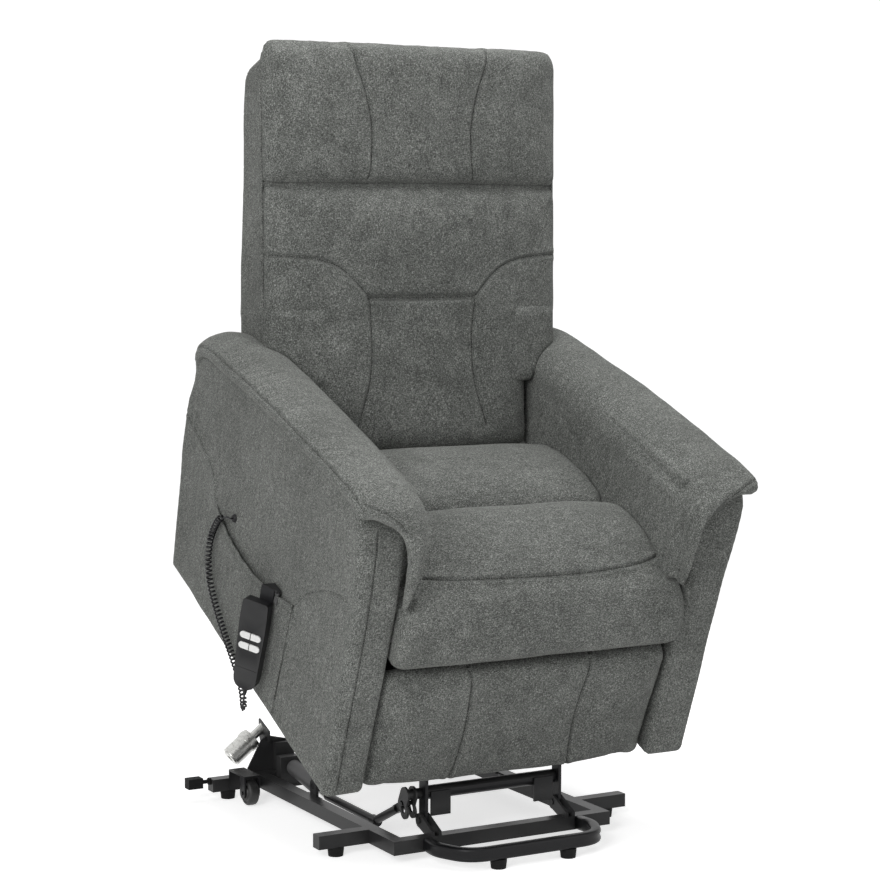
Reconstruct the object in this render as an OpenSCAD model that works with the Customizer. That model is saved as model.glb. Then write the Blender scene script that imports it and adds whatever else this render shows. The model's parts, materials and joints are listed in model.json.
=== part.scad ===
// Lift recliner chair: a steel floor base, a lift linkage, and an upholstered
// recliner that tips forward for standing. Millimetres, +Z up, floor at z = 0.
// The sitter faces -Y. The chair is drawn raised; each chair part is laid out
// in the chair's own frame (x, depth from the front corner, height) and tipped.

/* [Base frame] */
// Side of the square steel tube
tube = 25; // [22:1:30]
// Wall of the square steel tube
tube_wall = 2; // [1.5:0.5:3]
// Height of the rubber feet
foot_h = 17; // [12:1:25]
// Diameter of the rubber feet
foot_d = 30; // [24:1:36]
// Half of the width over the side rails
rail_half = 226; // [220:1:240]
// Distance from the front face to the middle of the rear cross tube
rear_y = 591; // [560:1:640]
// Half of the rear cross tube's length
rear_half = 319; // [300:1:340]
// Front face of the outriggers, from the base's front face
outrigger_y = 98; // [80:1:140]
// Half of the width over the outriggers
outrigger_half = 322; // [300:1:350]
// How far the front loop reaches ahead of the base
loop_reach = 115; // [100:1:140]
// Half of the front loop's width
loop_half = 172; // [160:1:185]
// Thickness of the front loop's tube seen from above
loop_t = 20; // [16:1:24]
// Distance from the base's front face back to the origin
origin_back = 209; // [190:1:260]
// Shift of the chair's middle plane beside the origin, which is central in the overall width
origin_side = 16; // [0:1:20]

/* [Transport wheels and buffers] */
// Diameter of the transport wheels
wheel_d = 50; // [40:1:54]
// Width of the transport wheels
wheel_w = 24; // [16:1:26]
// Distance of each wheel from the middle
wheel_x = 272; // [262:1:280]
// Distance of the wheel axles behind the base's front face
wheel_y = 514; // [480:1:530]
// Reach of each wall buffer beyond the rear cross tube
buffer_reach = 53; // [45:1:70]

/* [Lift linkage] */
// Forward tilt of the raised chair, in degrees
lift_tilt = 25.1; // [15:0.1:30]
// Raised chair's lower front corner, behind the base's front face
corner_y = -18; // [-30:1:0]
// Raised chair's lower front corner above the floor
corner_z = 145; // [135:1:160]
// Front links' base pivot, behind the base's front face
front_pivot_y = 50; // [45:1:55]
// Front links' base pivot above the floor
front_pivot_z = 60; // [56:1:64]
// Front links' chair pivot, behind the chair's front corner
front_hung_u = 80; // [76:1:90]
// Front links' chair pivot above the chair's lower edge
front_hung_w = 14; // [10:1:18]
// Rear links' base pivot, behind the base's front face
rear_pivot_y = 380; // [350:1:420]
// Rear links' base pivot above the floor
rear_pivot_z = 58; // [54:1:62]
// Rear links' chair pivot, behind the chair's front corner
rear_hung_u = 268.3; // [250:0.1:290]
// Rear links' chair pivot above the chair's lower edge
rear_hung_w = 20; // [16:1:24]
// Thickness of the flat links
link_t = 6; // [4:0.5:7]
// Diameter of the pivot pins
pin_d = 12; // [10:1:14]
// Running clearance round a pin
run_fit = 0.05; // [0.02:0.01:0.1]

/* [Chair carcass] */
// Length of the chair's lower edge
side_len = 745; // [720:1:780]
// Room between the side rails' outer faces and the arms
arm_room = 26; // [24:1:32]
// Thickness of each arm panel
arm_t = 120; // [110:1:130]
// Reach of the footrest and the seat's front over each arm panel
front_over = 40; // [34:1:46]
// Diameter of the lift motor
motor_d = 46; // [40:1:52]
// Thickness of the steel side plates
plate_t = 5; // [4:0.5:6]

/* [Upholstery] */
// Extra thickness of the arm pads at mid-width
pad_crown = 10; // [4:1:16]
// Height of the seat's highest point above the chair's lower edge
seat_top = 446; // [436:1:460]
// Lean of the back behind the vertical of the chair's frame, in degrees
back_lean = 25.6; // [20:0.1:30]
// Length of the back above its lower end
back_len = 703; // [660:1:740]
// Half of the back's width above the arms
back_half = 310; // [300:1:318]
// Height of the crease under the head pillow, along the back
crease_s = 438; // [410:1:460]
// Height of the lumbar seam, along the back
lumbar_s = 229; // [215:1:245]
// Thickness of the back cushion at its middle
back_crown = 66; // [56:1:76]
// Thickness of the footrest's padding
foot_pad_t = 50; // [40:1:54]
// Depth of the sewn channels
seam_depth = 7; // [3:1:12]

/* [Hand control] */
// Length of the hand control
remote_len = 176; // [160:1:190]
// Width of the hand control
remote_w = 54; // [50:1:58]
// Thickness of the hand control
remote_t = 19; // [17:1:22]
// Turn of the hand control towards the chair's front, in degrees
remote_turn = 38; // [30:1:45]
// Travel of each button
button_travel = 1; // [0.6:0.1:1.5]
// Outside diameter of the curly cord's coil
coil_d = 11; // [9:0.5:12]
// Diameter of the cord itself
cord_d = 2.8; // [2.2:0.1:3.2]
// Number of curls in the cord
curls = 54; // [30:1:60]

/* [Hidden] */
$fn = 48;

BLACK = "#1c1c1e";
STEEL = "#3a3b3e";
BRIGHT = "#b9bab4";
FABRIC = "#5d6260";
WOOD = "#b58a5a";
WHITE = "#f2f2f2";

// ---- Helpers -------------------------------------------------------------
gap = 0.5;
tube_mid_z = foot_h + tube / 2;
tube_top = foot_h + tube;
rail_mid = rail_half - tube / 2;
arm_inner = rail_half + arm_room;
arm_outer = arm_inner + arm_t;
front_half = arm_inner + front_over;
weld_x = rail_half - tube;

module on_base() {
    translate([origin_side, -origin_back, 0]) children();
}

module on_chair() {
    on_base() translate([0, corner_y, corner_z]) rotate([lift_tilt, 0, 0]) children();
}

// Both sides of the chair
module both() {
    for (side = [-1, 1]) scale_x(side) children();
}

module scale_x(side) {
    if (side < 0) mirror([1, 0, 0]) children();
    else children();
}

// A flat shape drawn as (depth, height), x from x0 to x0 + t
module side_slab(x0, t) {
    translate([x0, 0, 0]) rotate([90, 0, 90]) linear_extrude(t) children();
}

// A round bar along x
module x_bar(p, d, x0, x1) {
    translate([x0, p[0], p[1]]) rotate([0, 90, 0]) cylinder(h = x1 - x0, d = d);
}

function unit(v) = v / norm(v);
function lean_of(p, q) = atan2(q[1] - p[1], q[0] - p[0]);

// Outline of a flat link with round ends
module link_outline(p, q, r) {
    translate(p) rotate(lean_of(p, q)) union() {
        translate([0, -r]) square([norm(q - p), 2 * r]);
        circle(r);
        translate([norm(q - p), 0]) circle(r);
    }
}

// Corners [x, y, round] turned into a smooth outline
function bend(a, b, c, k) = (1 - k) * (1 - k) * a + 2 * k * (1 - k) * b + k * k * c;
function xy(p) = [p[0], p[1]];
function toward(p, q, d) = p + unit(q - p) * min(d, norm(q - p) * 0.48);
function soften(P, steps = 3) = [for (i = [0:len(P) - 1])
    let (b = xy(P[i]), a = xy(P[(i + len(P) - 1) % len(P)]), c = xy(P[(i + 1) % len(P)]))
    for (k = [0:steps]) bend(toward(b, a, P[i][2]), b, toward(b, c, P[i][2]), k / steps)];

// A closed skin over rings of points, its ends closed by fans round their centres
function ring_mid(r) = [for (a = [0:2]) ([for (p = r) p[a]] * [for (p = r) 1]) / len(r)];
module skin(rings) {
    m = len(rings);
    n = len(rings[0]);
    pts = concat([for (r = rings) each r], [ring_mid(rings[0]), ring_mid(rings[m - 1])]);
    sides = [for (i = [0:m - 2], j = [0:n - 1], half = [0, 1])
        let (a = i * n + j, b = i * n + (j + 1) % n)
        half == 0 ? [a, a + n, b] : [b, a + n, b + n]];
    first = [for (j = [0:n - 1]) [j, (j + 1) % n, m * n]];
    last = [for (j = [0:n - 1]) [(m - 1) * n + (j + 1) % n, (m - 1) * n + j, m * n + 1]];
    polyhedron(points = pts, faces = concat(sides, first, last));
}

// ---- Floor base ----------------------------------------------------------
// A hollow square tube along x or y
module tube_x(x0, x1, y, z) {
    difference() {
        translate([x0, y - tube / 2, z - tube / 2]) cube([x1 - x0, tube, tube]);
        translate([x0 - 1, y - tube / 2 + tube_wall, z - tube / 2 + tube_wall])
            cube([x1 - x0 + 2, tube - 2 * tube_wall, tube - 2 * tube_wall]);
    }
}

module tube_y(x, y0, y1, z) {
    difference() {
        translate([x - tube / 2, y0, z - tube / 2]) cube([tube, y1 - y0, tube]);
        translate([x - tube / 2 + tube_wall, y0 - 1, z - tube / 2 + tube_wall])
            cube([tube - 2 * tube_wall, y1 - y0 + 2, tube - 2 * tube_wall]);
    }
}

module side_rails() {
    color(BLACK) on_base() both() tube_y(rail_mid, tube, rear_y - tube / 2, tube_mid_z);
}

// The front tube crosses the rails' ends and is closed at its own
module front_cross_tube() {
    inside = tube - 2 * tube_wall;
    color(BLACK) on_base() difference() {
        translate([-rail_half, 0, foot_h]) cube([2 * rail_half, tube, tube]);
        translate([-rail_half + tube_wall, tube_wall, foot_h + tube_wall])
            cube([2 * (rail_half - tube_wall), inside, inside]);
    }
}

module rear_cross_tube() {
    color(BLACK) on_base() tube_x(-rear_half, rear_half, rear_y, tube_mid_z);
}

module outriggers() {
    color(BLACK) on_base() both()
        tube_x(rail_half, outrigger_half, outrigger_y + tube / 2, tube_mid_z);
}

// The front stabiliser is a flat tube on edge, bent into a D
loop_root = loop_half - 4;
loop_shoulder = 44;
loop_flat = 108;
module loop_outline(inset) {
    polygon(soften([
        [-loop_root + inset, 0, 2],
        [-loop_half + inset, -loop_shoulder + 4, 16],
        [-loop_flat - 34 + inset, -loop_reach + inset, 44],
        [loop_flat + 34 - inset, -loop_reach + inset, 44],
        [loop_half - inset, -loop_shoulder + 4, 16],
        [loop_root - inset, 0, 2]], 5));
}

module front_loop() {
    color(BLACK) on_base() translate([0, 0, foot_h]) linear_extrude(tube) difference() {
        loop_outline(0);
        union() {
            loop_outline(loop_t);
            translate([-loop_root + loop_t, -loop_shoulder])
                square([2 * (loop_root - loop_t), loop_shoulder + 1]);
        }
    }
}

outrigger_foot_x = outrigger_half - 36;
rear_foot_x = rear_half - 34;
loop_foot_x = 72;
module rubber_feet() {
    spots = [[outrigger_foot_x, outrigger_y + tube / 2], [rear_foot_x, rear_y],
        [loop_foot_x, -loop_reach + loop_t / 2 + 5]];
    color("#141415") on_base() both() for (s = spots)
        translate([s[0], s[1], 0]) {
            cylinder(h = foot_h - 4, d1 = foot_d - 3, d2 = foot_d);
            translate([0, 0, foot_h - 4]) cylinder(h = 4, d = foot_d);
        }
}

cap_t = 3;
module end_caps() {
    module cap(x, y) {
        inside = tube - 2 * tube_wall - 0.2;
        translate([x, y - tube / 2, foot_h]) cube([cap_t, tube, tube]);
        translate([x - 8, y - inside / 2, tube_mid_z - inside / 2]) cube([8.5, inside, inside]);
    }
    color("#141415") on_base() both() {
        cap(outrigger_half, outrigger_y + tube / 2);
        cap(rear_half, rear_y);
    }
}

fork_t = 3;
fork_gap = 1.5;
axle_d = 8;
wheel_clear = 1;
module wheel_forks() {
    cheek_x = wheel_w / 2 + fork_gap;
    color(BLACK) on_base() both() {
        difference() {
            union() {
                for (s = [-1, 1]) translate([wheel_x + s * (cheek_x + fork_t / 2) - fork_t / 2, 0, 0])
                    side_slab(0, fork_t) union() {
                        translate([wheel_y, wheel_d / 2 + wheel_clear]) circle(11);
                        translate([wheel_y - 11, wheel_d / 2 + wheel_clear]) square([22, 34]);
                    }
                translate([wheel_x - cheek_x - fork_t, wheel_y - 11, wheel_d / 2 + wheel_clear + 31])
                    cube([2 * (cheek_x + fork_t), rear_y - tube / 2 - wheel_y + 11, 3]);
                translate([wheel_x - cheek_x - fork_t, rear_y - tube / 2 - 3, foot_h + 4])
                    cube([2 * (cheek_x + fork_t), 3, wheel_d / 2 + wheel_clear + 31 - foot_h - 4]);
            }
        }
        x_bar([wheel_y, wheel_d / 2 + wheel_clear], axle_d,
            wheel_x - cheek_x - fork_t - 2, wheel_x + cheek_x + fork_t + 2);
    }
}

module transport_wheel() {
    difference() {
        rotate([0, 90, 0]) rotate_extrude() polygon(soften([
            [axle_d / 2 + run_fit, -wheel_w / 2, 0.2],
            [12, -wheel_w / 2, 1],
            [14, -wheel_w / 2 + 3, 1],
            [wheel_d / 2 - 7, -wheel_w / 2 + 3, 1],
            [wheel_d / 2 - 5, -wheel_w / 2 + 1, 1],
            [wheel_d / 2, -wheel_w / 2 + 4, 4],
            [wheel_d / 2, wheel_w / 2 - 4, 4],
            [wheel_d / 2 - 5, wheel_w / 2 - 1, 1],
            [wheel_d / 2 - 7, wheel_w / 2 - 3, 1],
            [14, wheel_w / 2 - 3, 1],
            [12, wheel_w / 2, 1],
            [axle_d / 2 + run_fit, wheel_w / 2, 0.2]], 2));
    }
}

module transport_wheel_left() {
    color("#202022") on_base() translate([-wheel_x, wheel_y, wheel_d / 2 + wheel_clear]) transport_wheel();
}

module transport_wheel_right() {
    color("#202022") on_base() translate([wheel_x, wheel_y, wheel_d / 2 + wheel_clear]) transport_wheel();
}

buffer_block = 30;
module wall_buffers() {
    start = rear_half + cap_t;
    color("#141415") on_base() both() {
        x_bar([rear_y, tube_mid_z + 8], 8, start, rear_half + buffer_reach - buffer_block);
        x_bar([rear_y, tube_mid_z + 8], 14, start, start + 5);
        translate([rear_half + buffer_reach - buffer_block, rear_y - 11, tube_mid_z - 2])
            cube([buffer_block, 22, 20]);
    }
}

// Ears that hold the front links, either side of each arm
front_arm_x = 140;
ear_t = 5;
side_clear = 1.5;
ear_r = 13;
module front_link_ears() {
    pivot = [front_pivot_y, front_pivot_z];
    color(BLACK) on_base() both() for (s = [-1, 1])
        translate([front_arm_x + s * (link_t / 2 + side_clear + ear_t / 2) - ear_t / 2, 0, 0])
            difference() {
                side_slab(0, ear_t) union() {
                    translate(pivot) circle(ear_r);
                    polygon([[0, tube_top], [0, tube_top + 8], [pivot[0] - 4, pivot[1] + ear_r - 0.6],
                        [pivot[0] + 8, pivot[1] - ear_r + 3], [tube, tube_top - 4], [tube, tube_top]]);
                }
                x_bar(pivot, pin_d + 2 * run_fit, -1, ear_t + 1);
            }
}

// Ears on the inner faces of the side rails hold the rear links
rear_arm_x = weld_x - ear_t - side_clear - link_t / 2 - 1;
module rear_link_ears() {
    pivot = [rear_pivot_y, rear_pivot_z];
    color(BLACK) on_base() both() difference() {
        side_slab(weld_x - ear_t - 1, ear_t + 1) union() {
            translate(pivot) circle(ear_r);
            translate([pivot[0] - 30, foot_h + 2]) square([60, tube - 4]);
            translate([pivot[0] - ear_r, foot_h + 4]) square([2 * ear_r, pivot[1] - foot_h - 4]);
        }
        x_bar(pivot, pin_d + 2 * run_fit, weld_x - ear_t - 3, weld_x + 2);
    }
}

// ---- Lift drive ----------------------------------------------------------
drive_x = -165;
crank_rise = [17.5, 29.5];
lift_swing = 81.05;
crank_rest = [front_pivot_y, front_pivot_z] + crank_rise;
crank_end = [front_pivot_y, front_pivot_z] + norm(crank_rise) * [
    cos(atan2(crank_rise[1], crank_rise[0]) + lift_swing),
    sin(atan2(crank_rise[1], crank_rise[0]) + lift_swing)];
drive_dir = unit(crank_rest - crank_end);
drive_lean = atan2(drive_dir[1], drive_dir[0]);
rod_start = [390, 32];
bend = [190, 30];
rod_d = 16;
drive_tube_d = 30;

module motor_bracket() {
    plate_y = rear_y + tube / 2;
    color(BLACK) on_base() {
        // sheet that stands behind the rear cross tube
        translate([0, plate_y + 4, 0]) rotate([90, 0, 0]) linear_extrude(4)
            polygon([[-236, 25], [-236, 50], [-206, 104], [-191, 112], [-150, 102], [-150, 25]]);
        // plate that carries the motor's nose
        side_slab(motor_plate_x, 4) polygon([[plate_y - 9, 101], [plate_y - 9, 122], [plate_y + 38, 140],
            [plate_y + 38, 108], [plate_y + 12, 62], [plate_y + 2, 62], [plate_y + 2, 101]]);
        // shelf ahead of the tube that carries the gearbox
        translate([drive_x - 28, rear_y - tube / 2 - 36, foot_h + 2]) cube([60, 36, 4]);
    }
}

motor_plate_x = -195;
motor_y = rear_y + tube / 2 + 4 + motor_d / 2 + 1;
module lift_motor() {
    color(BRIGHT) on_base() difference() {
        translate([-233, motor_y, 91]) rotate([0, 52, 0]) difference() {
            union() {
                translate([0, 0, -34]) cylinder(h = 58, d = motor_d - 4);
                translate([0, 0, -37]) cylinder(h = 8, d = motor_d - 12);
                translate([0, 0, 6]) cylinder(h = 11, d = motor_d);
                translate([0, 0, 10]) cylinder(h = 50, d = 18);
            }
            translate([0, 0, -40]) cylinder(h = 7, d = 14);
        }
        translate([motor_plate_x, rear_y, 60]) cube([60, 90, 120]);
    }
}

module lift_gearbox() {
    front = rear_y - tube / 2 - 34;
    color(BLACK) on_base() {
        translate([drive_x - 26, front, foot_h + 6]) cube([54, 22, 56]);
        translate([drive_x - 16, front + 22, tube_top + 1]) cube([40, rear_y - 2.5 - front - 22, 17]);
        translate([drive_x - 16, rear_y - 2.5, tube_top + 1]) cube([40, tube / 2 + 2, 56]);
    }
}

// Along the line on which the crank's pin travels
module on_drive(y) {
    along = (y - rod_start[0]) / cos(drive_lean);
    translate([drive_x, rod_start[0], rod_start[1]]) rotate([drive_lean, 0, 0]) translate([0, along, 0])
        rotate([-90, 0, 0]) children();
}

module drive_tube() {
    y1 = rear_y - tube / 2 - 34;
    color(STEEL) on_base() difference() {
        on_drive(436) cylinder(h = (y1 - 436) / cos(drive_lean) - 3, d = drive_tube_d);
        on_drive(430) cylinder(h = (y1 - 430) / cos(drive_lean) - 8, d = rod_d + 6);
    }
}

module drive_rod() {
    color(BRIGHT) on_base() on_drive(rod_start[0]) cylinder(h = 138, d = rod_d - 2);
}

// Bent tube from the rod to the crank, with a flattened eye
module drive_link() {
    module leg(p, q, d) {
        translate([drive_x, p[0], p[1]]) rotate([lean_of(p, q) - 90, 0, 0]) cylinder(h = norm(q - p), d = d);
    }
    color(BLACK) on_base() {
        leg(bend, rod_start, rod_d);
        leg(bend - unit(crank_rest - bend) * 3, crank_rest - unit(crank_rest - bend) * 38, rod_d);
        leg(bend - unit(rod_start - bend) * 9, bend + unit(rod_start - bend) * 9, rod_d + 4);
        side_slab(drive_x - 4, 8) link_outline(crank_rest, crank_rest - unit(crank_rest - bend) * 46, 8);
        x_bar(crank_rest, 8, drive_x - 12, drive_x + 12);
    }
}

// ---- Moving lift links ---------------------------------------------------
tip = lift_tilt;
function hung(u, w) = [corner_y + u * cos(tip) - w * sin(tip), corner_z + u * sin(tip) + w * cos(tip)];
front_hung = hung(front_hung_u, front_hung_w);
rear_hung = hung(rear_hung_u, rear_hung_w);
front_foot = [front_pivot_y, front_pivot_z];
rear_foot = [rear_pivot_y, rear_pivot_z];
hanger_x = front_arm_x + link_t / 2 + side_clear;

module front_link_arms() {
    pin_in = front_arm_x - link_t / 2 - side_clear - ear_t - 2;
    pin_out = front_arm_x + link_t / 2 + side_clear + ear_t + 2;
    color(BLACK) on_base() both() {
        side_slab(front_arm_x - link_t / 2, link_t) link_outline(front_foot, front_hung, 12);
        x_bar(front_foot, pin_d, pin_in, pin_out);
        x_bar(front_hung, pin_d, front_arm_x - link_t / 2 - 3, hanger_x + link_t + 2);
    }
}

cross_rise = [9, 47];
stub_d = 20;
module lift_cross_tube() {
    mid = front_foot + cross_rise;
    face_in = 88;
    face_out = front_arm_x - link_t / 2 - side_clear - ear_t - 2.5;
    inner = front_arm_x - link_t / 2;
    color(BLACK) on_base() {
        x_bar(mid, tube, -inner, inner);
        both() translate([face_in, mid[0] - 16, mid[1] - 40]) cube([face_out - face_in, 4, 44]);
        both() translate([face_in, mid[0] - 16, mid[1] - 2]) cube([face_out - face_in, 8, 6]);
        both() translate([face_in + 4, mid[0] - 12, mid[1] - 30]) cube([5, 12, 26]);
        x_bar(mid, stub_d, -170 - ear_t, -front_arm_x - link_t / 2);
    }
}

crank_slot = 13;
module drive_crank() {
    pivot = front_foot;
    reach = norm(crank_rise);
    turn = atan2(crank_rise[1], crank_rise[0]);
    mid = front_foot + cross_rise;
    color(BLACK) on_base() for (s = [-1, 1])
        translate([drive_x + s * 8 - 2, 0, 0]) difference() {
            side_slab(0, 4) union() {
                link_outline(mid, pivot + crank_rise, 15);
                link_outline(pivot + crank_rise, pivot + crank_rise * 0.55, 13);
            }
            side_slab(-1, 6) translate(pivot) rotate(turn) {
                translate([reach - 11, -crank_slot / 2]) square([11, crank_slot]);
                translate([reach - 11, 0]) circle(d = crank_slot);
                translate([reach, 0]) circle(d = crank_slot);
            }
            x_bar(mid, stub_d + 0.1, -1, 5);
        }
}

module rear_link_arms() {
    color(BLACK) on_base() both() {
        side_slab(rear_arm_x - link_t / 2, link_t) link_outline(rear_foot, rear_hung, 12);
        x_bar(rear_foot, pin_d, rear_arm_x - link_t / 2 - 3, weld_x - 1);
        x_bar(rear_hung, pin_d, rear_arm_x - link_t / 2 - 4, rear_arm_x + link_t / 2 + 1);
    }
}

module rear_link_tube() {
    mid = rear_foot + (rear_hung - rear_foot) * 0.42;
    inner = rear_arm_x - link_t / 2;
    color(BLACK) on_base() x_bar(mid, 20, -inner, inner);
}

// ---- Chair steelwork (depth u, height w) ---------------------------------
lift_rail_w = 42;
lift_rail_u0 = 86;
lift_rail_u1 = 600;
front_bar_u = 104;
rear_bar_u = 532;
foot_pivot = [150, 212];
back_pivot = [570, 235];
plate_x = rail_half;
shaft_d = 20;
actuator_x = 60;
post_t = 8;

module lift_rails() {
    hang_x = rear_arm_x + link_t / 2 + 2.5;
    color(BLACK) on_chair() both() {
        tube_y(rail_mid, lift_rail_u0, lift_rail_u1, lift_rail_w);
        side_slab(hang_x, weld_x - hang_x) union() {
            translate([rear_hung_u, rear_hung_w]) circle(12);
            translate([rear_hung_u - 12, rear_hung_w])
                square([24, lift_rail_w - rear_hung_w + tube / 2 - 2]);
        }
    }
}

module lift_cross_bars() {
    color(BLACK) on_chair() {
        for (u = [front_bar_u, rear_bar_u]) tube_x(-weld_x, weld_x, u, lift_rail_w);
        both() difference() {
            side_slab(hanger_x, link_t) union() {
                translate([front_hung_u, front_hung_w]) circle(12);
                polygon([[front_hung_u - 12, front_hung_w], [front_bar_u - tube / 2 - 10, lift_rail_w],
                    [front_bar_u - tube / 2, lift_rail_w + 10],
                    [front_bar_u - tube / 2, lift_rail_w - tube / 2],
                    [front_hung_u + 12, front_hung_w]]);
            }
            x_bar([front_hung_u, front_hung_w], pin_d + 2 * run_fit, hanger_x - 1, hanger_x + link_t + 1);
        }
        // posts for the two actuators
        top = lift_rail_w + tube / 2;
        translate([-actuator_x - 20, front_bar_u - 8, top]) cube([40, post_t, actuator_w - top + 20]);
        translate([actuator_x - 20, rear_bar_u - 4, top]) cube([40, post_t, actuator_w - top + 16]);
    }
}

module side_plates() {
    color(STEEL) on_chair() both() difference() {
        side_slab(plate_x, plate_t) polygon(soften([[110, 28, 12], [600, 28, 12], [600, 250, 30],
            [560, 285, 8], [104, 285, 12], [104, 180, 12]], 3));
        x_bar(foot_pivot, shaft_d + 2 * run_fit, plate_x - 1, plate_x + plate_t + 1);
        x_bar(back_pivot, shaft_d + 2 * run_fit, plate_x - 1, plate_x + plate_t + 1);
        for (u = [230, 320, 410]) x_bar([u, 150], 62, plate_x - 1, plate_x + plate_t + 1);
    }
}

seat_rail_w = 285;
seat_rail_h = 27;
module seat_cross_rails() {
    color(WOOD) on_chair() for (u = [104, 462])
        translate([-arm_inner, u, seat_rail_w]) cube([2 * arm_inner, 38, seat_rail_h]);
}

// Flat zigzag springs between the two rails
spring_n = 5;
spring_bends = 12;
module seat_springs() {
    u0 = 104 + 38;
    u1 = 462;
    step = (u1 - u0 - 8) / spring_bends;
    wire = 4;
    amp = 16;
    path = concat([[0, u0 - 6]],
        [for (i = [0:spring_bends]) [(i % 2 == 0 ? -1 : 1) * amp, u0 + 4 + i * step]],
        [[0, u1 + 6]]);
    color(BRIGHT) on_chair() for (i = [0:spring_n - 1])
        translate([-180 + i * 360 / (spring_n - 1), 0, seat_rail_w + seat_rail_h])
            linear_extrude(wire) polygon(concat([for (p = path) [p[0] - wire / 2, p[1]]],
                [for (k = [len(path) - 1:-1:0]) [path[k][0] + wire / 2, path[k][1]]]));
}

// ---- Arms ----------------------------------------------------------------
// Stations of the arm pad from rear to front: depth, height of its outer face,
// inner and outer side from the arm's inner face, thickness
pad_path = [
    [806, 352, 4, 122, 16],
    [801, 412, 3, 128, 24],
    [785, 462, 2, 136, 28],
    [750, 501, 1, 143, 31],
    [690, 522, 1, 147, 33],
    [560, 540, 1, 149, 34],
    [420, 549, 1, 149, 34],
    [280, 557, 2, 149, 34],
    [160, 562, 4, 149, 34],
    [80, 564, 8, 149, 34],
    [28, 550, 11, 144, 36],
    [4, 508, 16, 76, 34],
    [0, 458, 21, 53, 28],
    [6, 405, 26, 45, 20],
    [15, 362, 32, 40, 10]];
pad_last = len(pad_path) - 1;
function pad_at(i) = [pad_path[i][0], pad_path[i][1]];
function pad_out(i) = let (d = unit(pad_at(min(i + 1, pad_last)) - pad_at(max(i - 1, 0)))) [d[1], -d[0]];
function pad_under(i, extra) = pad_at(i) - pad_out(i) * (pad_path[i][4] + extra);
function pad_point(i, x, depth) = let (p = pad_at(i) - pad_out(i) * depth) [x, p[0], p[1]];

// One ring round the pad: crowned outside, flat underneath
pad_steps = [0, 0.08, 0.3, 0.5, 0.7, 0.92, 1];
function pad_ring(i) =
    let (x0 = arm_inner + pad_path[i][2], x1 = arm_inner + pad_path[i][3], t = pad_path[i][4],
        c = min(pad_crown, t / 3))
    concat([for (k = pad_steps)
            pad_point(i, x0 + (x1 - x0) * k, k == 0 || k == 1 ? t * 0.45 : c * pow(abs(2 * k - 1), 4) - c)],
        [pad_point(i, x1 - 3, t * 0.8), pad_point(i, x1 - 10, t), pad_point(i, x0 + 8, t),
            pad_point(i, x0 + 2, t * 0.8)]);

module arm_pad() {
    skin([for (i = [0:pad_last]) pad_ring(i)]);
}

module arm_pad_left() {
    color(FABRIC) on_chair() mirror([1, 0, 0]) arm_pad();
}

module arm_pad_right() {
    color(FABRIC) on_chair() arm_pad();
}

facing_u = 75;
facing_pad = 9;
module arm() {
    side_slab(arm_inner, arm_outer - arm_inner) polygon(concat(
        [[facing_u, 0], [side_len, 0], [side_len + 47, 233], [side_len + 58, 340]],
        [for (i = [0:facing_pad]) pad_under(i, gap)],
        [[facing_u, pad_under(facing_pad + 1, gap)[1]]]));
}

module arm_left() {
    color(FABRIC) on_chair() mirror([1, 0, 0]) arm();
}

module arm_right() {
    color(FABRIC) on_chair() arm();
}

// Narrow padded fronts below the arm pads
module arm_facings() {
    color(FABRIC) on_chair() both() side_slab(front_half + 2.5, arm_outer - front_half - 2.5)
        polygon(soften([[0, 0, 3], [27, 345, 20], [33, 400, 20], [42, 460, 20], [50, 500, 12],
            [60, 517, 4], [facing_u - gap, 520, 2], [facing_u - gap, 0, 2]], 3));
}

module rear_skirt() {
    color(FABRIC) on_chair() side_slab(-arm_inner + gap, 2 * (arm_inner - gap))
        polygon([[side_len - 16, 6], [side_len - 8, 6], [side_len + 37, 226], [side_len + 29, 226]]);
}

// Open-topped pocket on the sitter's right
pocket_u0 = 261;
pocket_u1 = 598;
pocket_w0 = 20;
pocket_w1 = 228;
pocket_t = 3;
pocket_gap = 8;
module side_pocket() {
    rim = 6;
    color(FABRIC) on_chair() translate([-arm_outer - pocket_gap - pocket_t, 0, 0]) {
        difference() {
            translate([0, pocket_u0, pocket_w0])
                cube([pocket_t + pocket_gap, pocket_u1 - pocket_u0, pocket_w1 - pocket_w0]);
            translate([pocket_t, pocket_u0 + rim, pocket_w0 + rim])
                cube([pocket_gap + 1, pocket_u1 - pocket_u0 - 2 * rim, pocket_w1 - pocket_w0]);
        }
    }
}

// ---- Seat ----------------------------------------------------------------
// Stations across a cushion as shares of its half width
across = [-1, -0.94, -0.8, -0.5, 0, 0.5, 0.8, 0.94, 1];
// Corners are [depth, height, rounding]; the top sinks and the ends draw in
// towards each side
function side_ring(P, half, t, base, drop, draw) =
    let (mid = (min([for (p = P) p[0]]) + max([for (p = P) p[0]])) / 2,
        sink = 1 - drop * pow(abs(t), 4), pull = 1 - draw * pow(abs(t), 8))
    [for (p = soften(P, 3)) [half * t, mid + (p[0] - mid) * pull, base + (p[1] - base) * sink]];

seat_under = seat_rail_w + seat_rail_h + 4 + gap;
roll_back = 262;
module seat_cushion() {
    P = [[roll_back + 2, seat_under, 6], [roll_back + 2, seat_top - 34, 14],
        [330, seat_top - 14, 40], [430, seat_top - 16, 40], [522, seat_top - 44, 30],
        [528, seat_under, 14]];
    color(FABRIC) on_chair()
        skin([for (t = across) side_ring(P, arm_inner - 3, t, seat_under, 0.3, 0.03)]);
}

module front_roll() {
    P = [[roll_back - 2, seat_under, 6], [92, seat_under, 12], [66, 366, 14],
        [80, 400, 26], [128, seat_top - 14, 46], [200, seat_top - 3, 40],
        [roll_back - 2, seat_top - 26, 16]];
    color(FABRIC) on_chair()
        skin([for (t = across) side_ring(P, arm_inner - 2, t, seat_under, 0.25, 0.02)]);
}

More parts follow.
